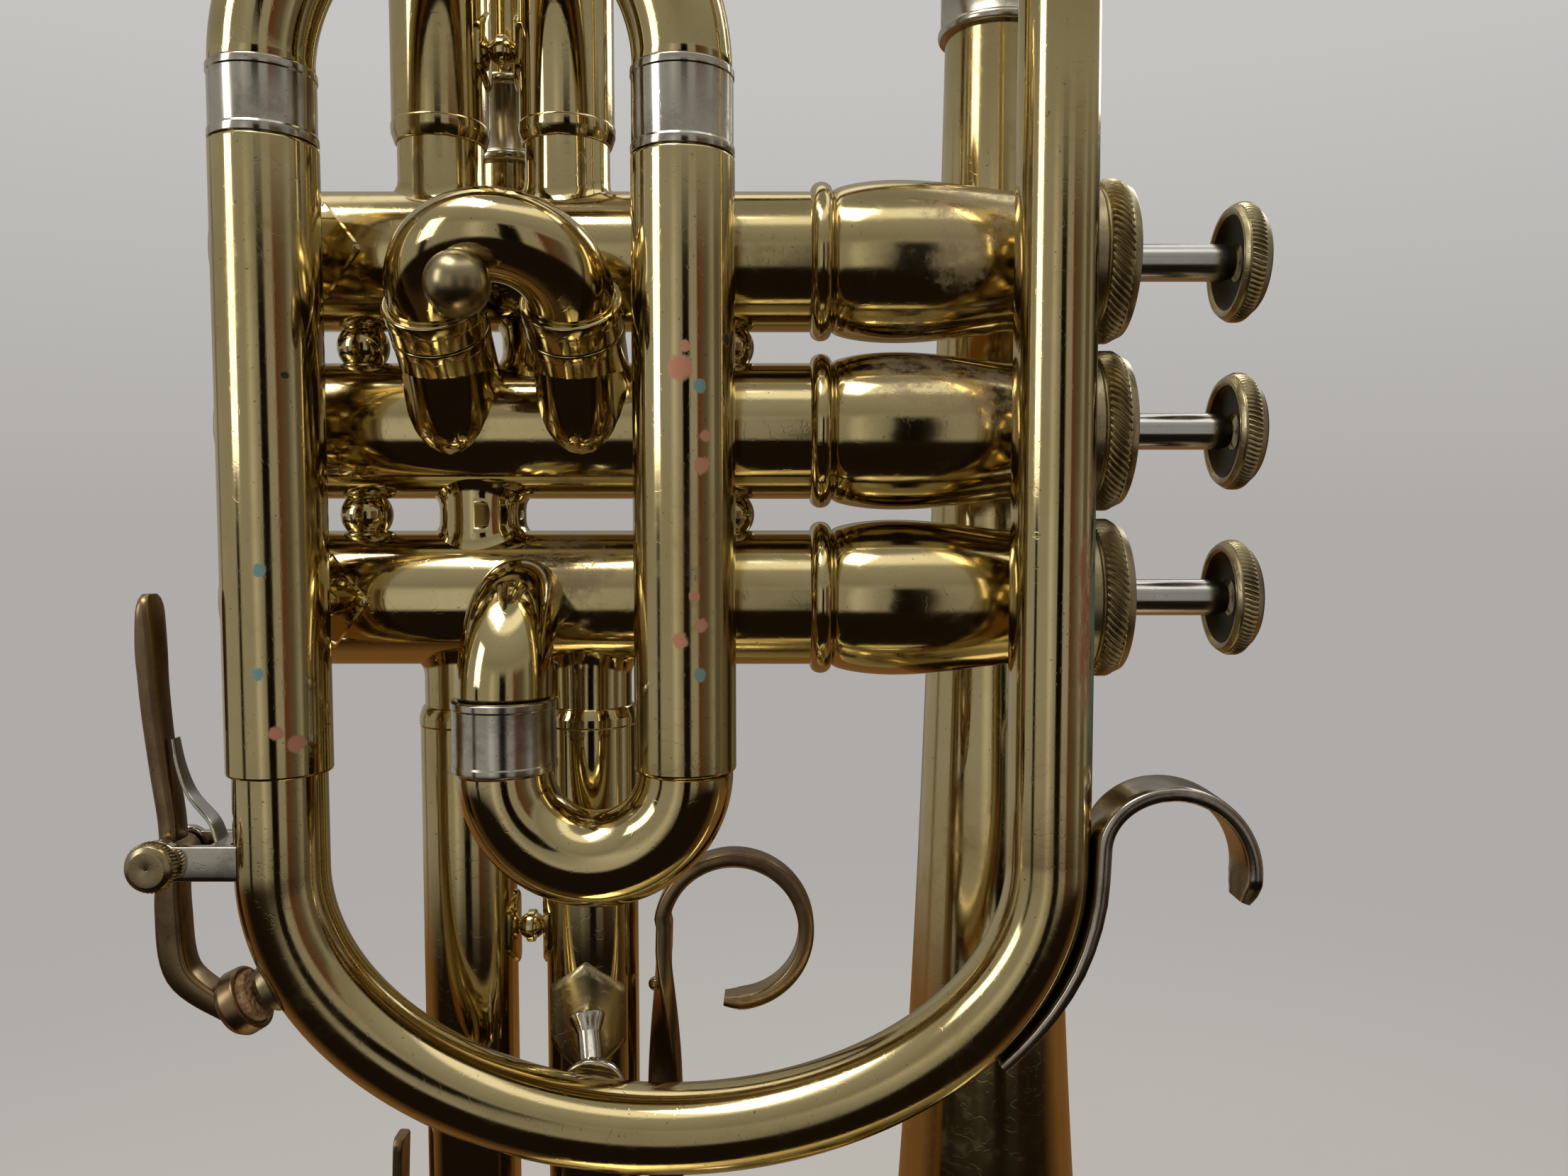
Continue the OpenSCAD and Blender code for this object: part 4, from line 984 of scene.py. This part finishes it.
half_nut = [(AXIS, -2.6), (1.3, -2.6), (1.0, -1.6), (1.2, -0.7), (2.5, -0.55)]
nut = half_nut + [(r, -h) for r, h in half_nut[::-1]]
slide_plate = fine_outline([(-6, 0), (-3, -3.6), (3, -3.6), (6, 0), (3, 3.6), (-3, 3.6)], 0.5)
for number, x in ((1, s1_x), (3, s3_x)):
    node = f"slide_{number}_brace"
    brace = Shape()
    mid = Vector((x, valve_y, centre(node).z))
    ball(brace, mid, 2.1)
    turned(brace, nut, 0.15, mid, ALONG_X, 40, closed=False)
    for side in (-1, 1):
        beside = mid + Vector((side * CROOK_R, 0, 0))
        saddle_plate(brace, beside, UP, LEG_R, slide_plate, 0.6, facing=(-side, 0, 0))
    brace.piece(f"{node}_cast", "body", brass, LACQUER, [node])

# The second slide leans forward and up between the others.
s2_dir = Vector((0, -1, 1)).normalized()
s2_base = Vector((centre("slide_2_sleeves").x, valve_y, valve_z[1]))
S2_END, S2_BOW, KNUCKLE_R = 19.4, 24.6, 6.7
s2_outline = [
    (6.2, 8.2), (KNUCKLE_R, 8.2), (6.9, 10.8), (6.9, 17.8), (7.0, 18.0), (7.0, 19.1), (6.9, S2_END),
    (6.2, S2_END)]
s2_band = shifted([(6.1, 0.2), (7.0, 0.2), (6.95, 2.6), (7.15, 2.9), (7.15, 4.6), (6.8, 4.8), (6.1, 4.8)],
    S2_END)
s2, s2c = Shape(), Shape()
u_crook(s2c, s2_base + s2_dir * S2_BOW, s2_dir, ALONG_X, 6.15, CROOK_R, S2_BOW - 11.4)
for side in (-1, 1):
    base = s2_base + Vector((side * CROOK_R, 0, 0))
    turned(s2, s2_outline, 0.25, base, s2_dir, 72)
    knuckle_yz = ((-5.2, 1.2), (-6.6, 2.2), (-7.9, 4.4), (-9.3, 7.6), (-10.4, 10.2))
    knuckle = [base + Vector((0, y, z)) for y, z in knuckle_yz]
    bar(s2, bezier(knuckle, 5), 2 * KNUCKLE_R, 2 * KNUCKLE_R, ALONG_X, 1.0)
    ball(s2, knuckle[1], KNUCKLE_R)
    turned(s2c, s2_band, 0.25, base, s2_dir, 72)
s2.piece("slide_2_sleeves_drawn", "body", brass, LACQUER, ["slide_2_sleeves"])
s2c.piece("slide_2_crook_drawn", "second_slide", brass, LACQUER, ["slide_2_crook"])
knob = Shape()
knob_dir = Vector((0, -1, -1)).normalized()
knob_base = s2_base + s2_dir * (S2_BOW + CROOK_R - 1) + Vector((-2.5, 0, 0))
ball(knob, knob_base + knob_dir * 9.75, 4.3, knob_dir)
neck = [(AXIS, 4.6), (3.0, 4.6), (2.7, 6.2), (2.0, 6.9), (2.0, 7.6), (AXIS, 7.6)]
turned(knob, neck, 0.3, knob_base, knob_dir, 40, closed=False)
knob.piece("slide_2_knob_turned", "second_slide", brass_aged, LACQUER, ["slide_2_knob"])

tuning_z = high("tuning_ferrules").z
tuning_r = (right_x - left_x) / 2
tuning_mid = ((left_x + right_x) / 2, slide_y, tuning_z)
tuning = Shape()
leg_low = low("tuning_slide").z
LEG_POINTS, BEND_STEPS = 8, 80
left_leg = line((left_x, slide_y, leg_low + 2), (left_x, slide_y, tuning_z - 1), LEG_POINTS)
bend = arc(tuning_mid, (-tuning_r, 0, 0), (0, 0, tuning_r), 180, BEND_STEPS)
right_leg = line((right_x, slide_y, tuning_z - 1), (right_x, slide_y, leg_low), LEG_POINTS)
tuning_radii = [6.2] * LEG_POINTS + [6.7] * (BEND_STEPS + 1) + [6.2] * LEG_POINTS
tube(tuning, left_leg + bend + right_leg, tuning_radii, WALL, ALONG_Y, 72)
tuning.piece("tuning_slide_drawn", "main_slide", brass, LACQUER, ["tuning_slide"])
bands = Shape()
for x, node in ((left_x, "left_sleeve"), (right_x, "right_sleeve")):
    outline = shifted([(6.1, 0.2), (7.0, 0.2), (7.0, 1.3), (6.84, 1.6)], high(node).z)
    outline += shifted([(6.84, -1.4), (6.98, -1.2), (6.98, -0.3), (6.7, 0), (6.1, 0)], tuning_z)
    turned(bands, outline, 0.12, (x, slide_y, 0), UP)
bands.piece("tuning_ferrules_turned", "main_slide", nickel, NICKEL, ["tuning_ferrules"])


# ---- Brace from the third slide to the front bow ----

HEXAGON_HALF, PAD_R, ROD_X, ROD_ANGLE = 8.75, 5, -65.5, 75
plate_mid = Vector((s3_x + CROOK_R, valve_y, high("bow_brace").z - HEXAGON_HALF))
hexagon = fine_outline([(-HEXAGON_HALF, 0), (-4.4, -6.2), (4.4, -6.2), (HEXAGON_HALF, 0), (4.4, 6.2),
    (-4.4, 6.2)])
plate = Shape()
saddle_plate(plate, plate_mid, UP, LEG_R, hexagon, 0.85)
plate.piece("bow_brace_plate", "body", brass_caps, LACQUER)
bow_brace = Shape()
rod_from = plate_mid + Vector((0.3, -7.6, 0))
rod_to = Vector((ROD_X, bow_point(ROD_ANGLE).y + bow_radius(ROD_ANGLE) - 0.2, low("bow_brace").z + PAD_R))
rod = rod_to - rod_from
rod_outline = [(AXIS, -1.0), (2.9, -0.6), (2.2, 0.9), (1.8, 2.0)]
rod_outline += shifted([(1.8, -2.2), (2.3, -1.2), (2.9, -0.3), (AXIS, 0.4)], rod.length)
turned(bow_brace, rod_outline, 0.3, rod_from, rod.normalized(), 48, closed=False)
pad_outline = [(AXIS, -1.2), (4.9, -1.2), (PAD_R, -0.6), (4.6, 0.9), (3.0, 1.5), (AXIS, 1.7)]
turned(bow_brace, pad_outline, 0.3, rod_to + Vector((0, 0.2, 0)), ALONG_Y, 56, closed=False)
bow_brace.piece("bow_brace_cast", "body", nickel, NICKEL, ["bow_brace"])


# ---- Hook for the little finger ----

HOOK_THICK, HOOK_R, HOOK_WIDE = 2.2, 11.6, 8.6
hook = Shape()
foot = [bow_point(a) + bow_out(a) * (bow_radius(a) + 0.95) for a in range(142, 180, 4)]
hook_top = Vector((centre("pinky_hook").x + 5.5, lead_y, high("pinky_hook").z - HOOK_THICK / 2))
start = Vector((bow_radius(180) + HOOK_THICK / 2, lead_y, 236))
rise_mid = (hook_top.x, lead_y, start.z)
rise = ellipse_points(rise_mid, hook_top.x - start.x, hook_top.z - start.z, range(176, 96, -4))
over_mid = (hook_top.x, lead_y, hook_top.z - HOOK_R)
over = ellipse_points(over_mid, HOOK_R, HOOK_R, range(90, -26, -4))
hook_path = foot + [start] + rise + over
count = len(hook_path)
hook_width = [HOOK_WIDE * (0.72 + 0.28 * min(i / 5, 1)) * min(1, 1 - 0.1 * (i - count + 5))
    for i in range(count)]
hook_thick = [min(1.5 + 0.7 * min(i / 8, 1), HOOK_THICK - 0.35 * (i - count + 3)) for i in range(count)]
bar(hook, hook_path, hook_width, hook_thick, ALONG_Y, 0.45)
hook.piece("pinky_hook_cast", "body", nickel_dull, NICKEL, ["pinky_hook"])


# ---- Water key on the front bow ----

pivot = Vector((centre("bow_key_screw").x, slide_y, centre("bow_key_screw").z))
NIPPLE = 21
nipple_out, nipple_at, nipple_r = bow_out(NIPPLE), bow_point(NIPPLE), bow_radius(NIPPLE)
key_top = high("bow_key_lever").z
pivot_xz = (pivot.x, pivot.z)
handle = bezier(in_plane(slide_y, [
    (-124.5, key_top - 0.1), (-124.5, key_top - 8), (-124.1, 256), (-123.3, 248), (-122.4, 241), pivot_xz]),
    8)
count = len(handle)
handle_wide = [5.4 - 1.2 * min(i / 22, 1) for i in range(count)]
for i, narrowed in enumerate((0.4, 0.75, 0.92)):
    handle_wide[i] *= narrowed
handle_thick = [1.0 + 1.9 * sin(pi * min((i + 1.2) / 20, 0.62)) for i in range(count)]
cup = nipple_at + nipple_out * (nipple_r + 6.5) + Vector((-0.3, 0, 0))
arm = bezier(in_plane(slide_y, [pivot_xz, (-122.6, 228), (-121.4, 219)]) + [cup], 8)
arm_thick = [3.0 + 0.9 * sin(pi * i / (len(arm) - 1)) for i in range(len(arm))]
lever = Shape()
bar(lever, handle, handle_wide, handle_thick, ALONG_Y, 0.8)
bar(lever, arm, 4.4, arm_thick, ALONG_Y, 0.6)
turned(lever, [(AXIS, -2.65), (2.7, -2.65), (2.7, 2.65), (AXIS, 2.65)], 0.3, pivot, ALONG_Y, 48, closed=False)
cup_outline = shifted([
    (3.72, 0), (4.6, 0), (4.7, 2.2), (4.1, 3.2), (2.0, 3.6), (AXIS, 3.7), (AXIS, 2.4), (3.72, 2.2)],
    nipple_r + 3.3)
turned(lever, cup_outline, 0.35, nipple_at, nipple_out, 56, closed=False)
lever.piece("bow_key_lever_cast", "bow_key", brass_tarnish, TARNISH, ["bow_key_lever"])
pad = Shape()
pad_outline = shifted([(AXIS, 0), (3.4, 0), (3.68, 0.3), (3.7, 2.6), (AXIS, 2.6)], nipple_r + 2.3)
turned(pad, pad_outline, 0.2, nipple_at, nipple_out, 48, closed=False)
pad.piece("bow_key_cork_cut", "bow_key", cork, "cork", ["bow_key_cork"])
nipple = Shape()
nipple_outline = [(1.2, 0.2)] + shifted([
    (1.2, 2.15), (1.9, 2.15), (2.5, 1.2), (2.9, 0.8), (3.7, 0.3), (3.7, -0.9)], nipple_r) + [(3.0, 0.2)]
turned(nipple, nipple_outline, 0.25, nipple_at, nipple_out, 48)
nipple.piece("bow_key_nipple_turned", "body", brass_aged, LACQUER, ["bow_key_nipple"])
saddle = Shape()
post_x, bridge_x = left_x - bow_radius(0), -115.6
for side in (-1, 1):
    cheek = Vector((pivot.x, slide_y + side * 4.05, pivot.z))
    cheek_outline = [(AXIS, -0.8), (3.0, -0.8), (3.15, -0.5), (3.15, 0.5), (3.0, 0.8), (AXIS, 0.8)]
    turned(saddle, cheek_outline, 0.2, cheek, ALONG_Y, 48, closed=False)
    cheek_end = (post_x + (2.0 if side < 0 else 0.4), cheek.y, cheek.z)
    bar(saddle, line(cheek, cheek_end, 8), 1.6, 4.8, ALONG_Y, 0.3)
bridge = line((bridge_x, slide_y, pivot.z), (post_x + 0.4, slide_y, pivot.z), 6)
bar(saddle, bridge, 9.4, 4.6, ALONG_Y, 0.3)
leaf = bezier(in_plane(slide_y, [
    (bridge_x, pivot.z + 2.2), (-116.6, 240.5), (-119.4, 244), (-120.9, 248), (-121.6, 252)]), 6)
leaf_spring = Shape()
leaf_wide = [3.6 - 1.6 * i / (len(leaf) - 1) for i in range(len(leaf))]
bar(leaf_spring, leaf, leaf_wide, 0.5, ALONG_Y, 0.5)
leaf_piece = leaf_spring.piece("bow_key_leaf_spring", None, steel, "spring_steel")
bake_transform(leaf_piece)
saddle.piece("bow_key_saddle_cast", "body", nickel, NICKEL, ["bow_key_saddle"])
screw_head = (pivot.x, low("bow_key_screw").y, pivot.z)
screw = Shape()
turned(screw, [
    (AXIS, 0.0), (2.4, 0.0), (3.1, 0.35), (3.25, 0.7), (3.25, 2.2), (2.9, 2.6), (1.15, 2.6), (1.15, 12.3),
    (AXIS, 12.3)], 0.2, screw_head, ALONG_Y, 64, closed=False)
knurl(screw, screw_head, ALONG_Y, 3.15, 3.5, 0.7, 2.3, 40, 0.8)
screw.piece("bow_key_screw_turned", "body", brass_aged, SATIN, ["bow_key_screw"], sharp=35)


# ---- Finger ring on the third slide ----

RING_R, RING_WIDE, RING_THICK = 11.4, 4.8, 2.5
STRIP_X, ROUNDED_TAIL = -56.4, 4
foot_z = low("finger_ring").z
strip = bezier(in_plane(valve_y, [
    (STRIP_X, foot_z), (STRIP_X, 176), (STRIP_X, 192), (STRIP_X, 205), (STRIP_X - 0.1, 213),
    (STRIP_X + 0.1, 220)]), 6)
strip = [p for p in strip if p.z < 218.5]
ring_path = strip + ellipse_points((-45.4, valve_y, 217.6), RING_R, RING_R, range(170, -102, -4))
twists, wides, thicks = [], [], []
for i, p in enumerate(ring_path):
    past = max(0, i - len(ring_path) + ROUNDED_TAIL)
    ending = i >= len(ring_path) - ROUNDED_TAIL
    twists.append(90 * min(max((214 - p.z) / 26, 0), 1) if i < len(strip) else 0)
    wides.append(RING_WIDE * (1 - 0.08 * past) + 0.7 * twists[-1] / 90)
    thicks.append(2.3 - 0.25 * past if ending else RING_THICK)
finger = Shape()
bar(finger, ring_path, wides, thicks, ALONG_Y, 0.6, twists)
lug_x = STRIP_X - 3.4
bar(finger, line((lug_x, valve_y, foot_z), (lug_x, valve_y, foot_z + 9), 4), 5.6, 4.0, ALONG_Y, 0.35)
ball(finger, (STRIP_X - 1.5, valve_y, 208.6), 1.1, ALONG_X, 24)
finger.piece("finger_ring_forged", "third_slide", brass_tarnish, TARNISH, ["finger_ring"])


# ---- Water key on the third slide ----

KEY_3_TURN = radians(50)
pivot_3 = Vector((-97.5, valve_y, 151))
pivot_3_xz = (pivot_3.x, pivot_3.z)
out_3 = Vector((-cos(KEY_3_TURN), 0, -sin(KEY_3_TURN)))
top_3 = CROOK_R + CROOK_TUBE_R + 1.9
key3_top = high("slide_3_key").z
cup_3 = crook_3_mid + out_3 * (top_3 + 3.0)
key3 = Shape()
handle3 = bezier(in_plane(valve_y, [
    (-98.6, key3_top - 0.1), (-98.9, 176), (-99.0, 168), (-98.4, 158), pivot_3_xz]), 7)
bar(key3, handle3, [3.4] + [4.8] * (len(handle3) - 1), 1.6, ALONG_Y, 0.5)
arm3 = bezier(in_plane(valve_y, [pivot_3_xz, (-98.3, 140), (-97.3, 128), (cup_3.x, cup_3.z)]), 7)
bar(key3, arm3, 4.2, 1.8, ALONG_Y, 0.6)
turned(key3, [(AXIS, -2.45), (2.1, -2.45), (2.1, 2.45), (AXIS, 2.45)], 0.3, pivot_3, ALONG_Y, 40,
    closed=False)
cup_3_outline = shifted([
    (3.25, 0.9), (3.95, 0.9), (4.0, 2.8), (3.2, 3.6), (AXIS, 3.7), (AXIS, 2.4), (3.25, 2.3)], top_3)
turned(key3, cup_3_outline, 0.3, crook_3_mid, out_3, 48, closed=False)
key3.piece("slide_3_key_cast", "third_slide_key", brass_tarnish, TARNISH, ["slide_3_key"])
pad3 = Shape()
pad_3_outline = shifted([(AXIS, 0), (3.0, 0), (3.2, 0.3), (3.2, 2.2), (AXIS, 2.2)], top_3)
turned(pad3, pad_3_outline, 0.2, crook_3_mid, out_3, 48, closed=False)
pad3.piece("slide_3_cork_cut", "third_slide_key", cork, "cork", ["slide_3_key_cork"])
saddle3 = Shape()
for side in (-1, 1):
    cheek = Vector((pivot_3.x, valve_y + side * 3.45, pivot_3.z))
    cheek_outline = [(AXIS, -0.7), (2.4, -0.7), (2.5, -0.4), (2.5, 0.4), (2.4, 0.7), (AXIS, 0.7)]
    turned(saddle3, cheek_outline, 0.2, cheek, ALONG_Y, 40, closed=False)
    bar(saddle3, line(cheek, (s3_x - CROOK_R - 5.9, cheek.y, cheek.z), 6), 1.4, 3.9, ALONG_Y, 0.35)
lathe(saddle3, [(AXIS, -4.1), (0.95, -4.1), (0.95, 4.1), (AXIS, 4.1)], pivot_3, ALONG_Y, 24, closed=False)
spout = [(1.0, 14), (3.2, 14)] + shifted([(3.2, -1.3), (2.3, -0.4), (1.0, -0.15)], top_3)
turned(saddle3, spout, 0.3, crook_3_mid, out_3, 40)
saddle3.piece("slide_3_saddle_cast", "third_slide", nickel, NICKEL, ["slide_3_key_saddle"])


# ---- Inner pieces kept from the frame ----

COIL_R, WIRE, TURNS, PER_TURN = 6.4, 0.9, 9, 28
for k in (1, 2, 3):
    part = nodes[f"piston_{k}"]
    part.data.materials.clear()
    part.data.materials.append(piston_metal)
    part.data.polygons.foreach_set("use_smooth", [True] * len(part.data.polygons))
    part.data.set_sharp_from_angle(angle=radians(35))
    spring, z = f"valve_spring_{k}", valve_z[k - 1]
    x0, x1 = low(spring).x + WIRE / 2, high(spring).x - WIRE / 2
    coil_path = []
    for i in range(TURNS * PER_TURN + 1):
        a = TAU * i / PER_TURN
        x = x0 + (x1 - x0) * i / (TURNS * PER_TURN)
        coil_path.append((x, valve_y + COIL_R * cos(a), z + COIL_R * sin(a)))
    coil = Shape()
    bar(coil, coil_path, WIRE, WIRE, ALONG_X, 1.0)
    coil_piece = coil.piece(f"{spring}_wound", "body", steel, "spring_steel", [spring])
    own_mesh(coil_piece)
nodes["valve_guides"].data.materials.clear()
nodes["valve_guides"].data.materials.append(guide)


# ---- Floor, light, camera ----

FLOOR_FAR = (0.425, 0.408, 0.395)


def floor_material():
    """Pale matt floor that fades into the room's own grey further out, so that no horizon shows."""
    mat, net, shader = new_material("floor_pale")
    color = net.mix(net.noise(3.0, 3), (0.60, 0.58, 0.565), (0.65, 0.63, 0.615))
    net.feed(shader, {"Base Color": color, "Roughness": 0.85, "Specular IOR Level": 0.1})
    away = net.put("VectorMath", {0: net.place}, operation="LENGTH").outputs["Value"]
    glow = net.put("Emission", {"Color": FLOOR_FAR, "Strength": 1.0})
    fade = net.steps(away, 0.22, 0.75)
    both = net.put("MixShader", {0: fade, 1: shader.outputs[0], 2: glow.outputs[0]})
    net.feed(net.output, {"Surface": both.outputs[0]})
    return mat


circle = bmesh.new()
bmesh.ops.create_circle(circle, cap_ends=True, segments=128, radius=2.5)
floor_mesh = bpy.data.meshes.new("floor")
circle.to_mesh(floor_mesh)
circle.free()
floor = bpy.data.objects.new("floor", floor_mesh)
floor.location.z = cad_low.z - 0.0005
bpy.context.scene.collection.objects.link(floor)
floor.data.materials.append(floor_material())
floor.visible_glossy = False


def room():
    """Pale grey to the camera; to reflections pale walls with dark bands, bright above and brown below."""
    world = bpy.data.worlds.new("studio")
    bpy.context.scene.world = world
    world.use_nodes = True
    net = Net(world.node_tree)
    net.place = net.put("TexCoord").outputs["Generated"]
    part = net.put("SeparateXYZ", {"Vector": net.place}).outputs
    azimuth = net.maths("ARCTAN2", part["X"], net.times(part["Y"], -1.0))
    wobble = net.times(net.minus(net.noise(3.0, 3, 0.5, seed=1.0), 0.5), 0.012)
    turn = net.plus(net.steps(azimuth, -pi, pi), wobble)
    wall, bright, dim = (0.36, 0.345, 0.31), (0.62, 0.60, 0.54), (0.13, 0.11, 0.085)
    black, red = (0.006, 0.004, 0.003), (0.13, 0.045, 0.02)
    bands = net.color_steps(turn, [
        (0.00, dim), (0.07, wall), (0.17, wall), (0.185, dim), (0.20, wall), (0.33, wall), (0.34, black),
        (0.352, black), (0.36, wall), (0.43, wall), (0.455, bright), (0.485, wall),
        (0.503, (0.30, 0.29, 0.26)),
        (0.508, black), (0.545, black), (0.553, wall), (0.590, wall), (0.60, red), (0.66, dim), (0.70, wall),
        (0.715, dim), (0.75, dim), (0.765, wall), (0.80, dim), (0.83, (0.02, 0.013, 0.006)),
        (0.90, (0.03, 0.02, 0.01)), (0.95, dim), (1.0, dim)])
    height = part["Z"]
    front = net.steps(part["Y"], -0.25, 0.25)
    floor_glow = net.mix(front, (0.012, 0.008, 0.005), (0.20, 0.10, 0.035))
    lamp = (1.3, 1.28, 1.18)
    ceiling = net.color_steps(net.steps(height, -1, 1), [
        (0.0, black), (0.62, (0.42, 0.405, 0.36)), (0.70, (0.30, 0.285, 0.25)), (0.88, (0.42, 0.41, 0.37)),
        (0.91, lamp), (0.955, lamp), (0.97, (0.34, 0.33, 0.30)), (1.0, (0.30, 0.29, 0.26))])
    ceiling = net.mix(net.steps(height, -0.05, 0.05), floor_glow, ceiling)
    seen = net.mix(net.steps(net.maths("ABSOLUTE", height), 0.24, 0.34), bands, ceiling)
    plain_stops = [(0.0, FLOOR_FAR), (0.5, FLOOR_FAR), (1.0, (0.56, 0.55, 0.535))]
    plain = net.color_steps(net.steps(height, -0.35, 0.35), plain_stops)
    color = net.mix(net.put("LightPath").outputs["Is Camera Ray"], seen, plain)
    surface = net.put("Background", {"Color": color, "Strength": 1.0})
    net.put("OutputWorld", {"Surface": surface.outputs[0]})


room()


def soft_box(name, place, aim, wide, tall, power, color=(1, 1, 1)):
    light = bpy.data.lights.new(name, "AREA")
    light.shape = "RECTANGLE"
    light.size, light.size_y, light.energy, light.color = wide, tall, power, color
    obj = bpy.data.objects.new(name, light)
    obj.location = place
    obj.rotation_euler = (Vector(aim) - Vector(place)).to_track_quat("-Z", "Y").to_euler()
    bpy.context.scene.collection.objects.link(obj)


middle = (-0.04, -0.03, 0.27)
soft_box("soft_box_top", (-0.35, -0.35, 1.15), middle, 0.55, 0.28, 3.0, (1.0, 0.98, 0.93))
soft_box("soft_box_left", (-0.95, -0.65, 0.62), middle, 0.30, 0.6, 2.0, (1.0, 0.99, 0.96))
soft_box("soft_box_back", (0.7, 0.8, 0.95), middle, 0.5, 0.5, 2.0, (0.96, 0.98, 1.0))

camera_data = bpy.data.cameras.new("camera")
camera_data.sensor_width = 36.0
camera_data.lens = 27.03
camera_data.clip_start = 0.01
camera = bpy.data.objects.new("camera", camera_data)
camera.location = (-0.0375, -0.2126, 0.2826)
camera.rotation_euler = (radians(90 - 3.5), 0, 0)
bpy.context.scene.collection.objects.link(camera)
bpy.context.scene.camera = camera
bpy.context.scene.view_settings.view_transform = "Standard"
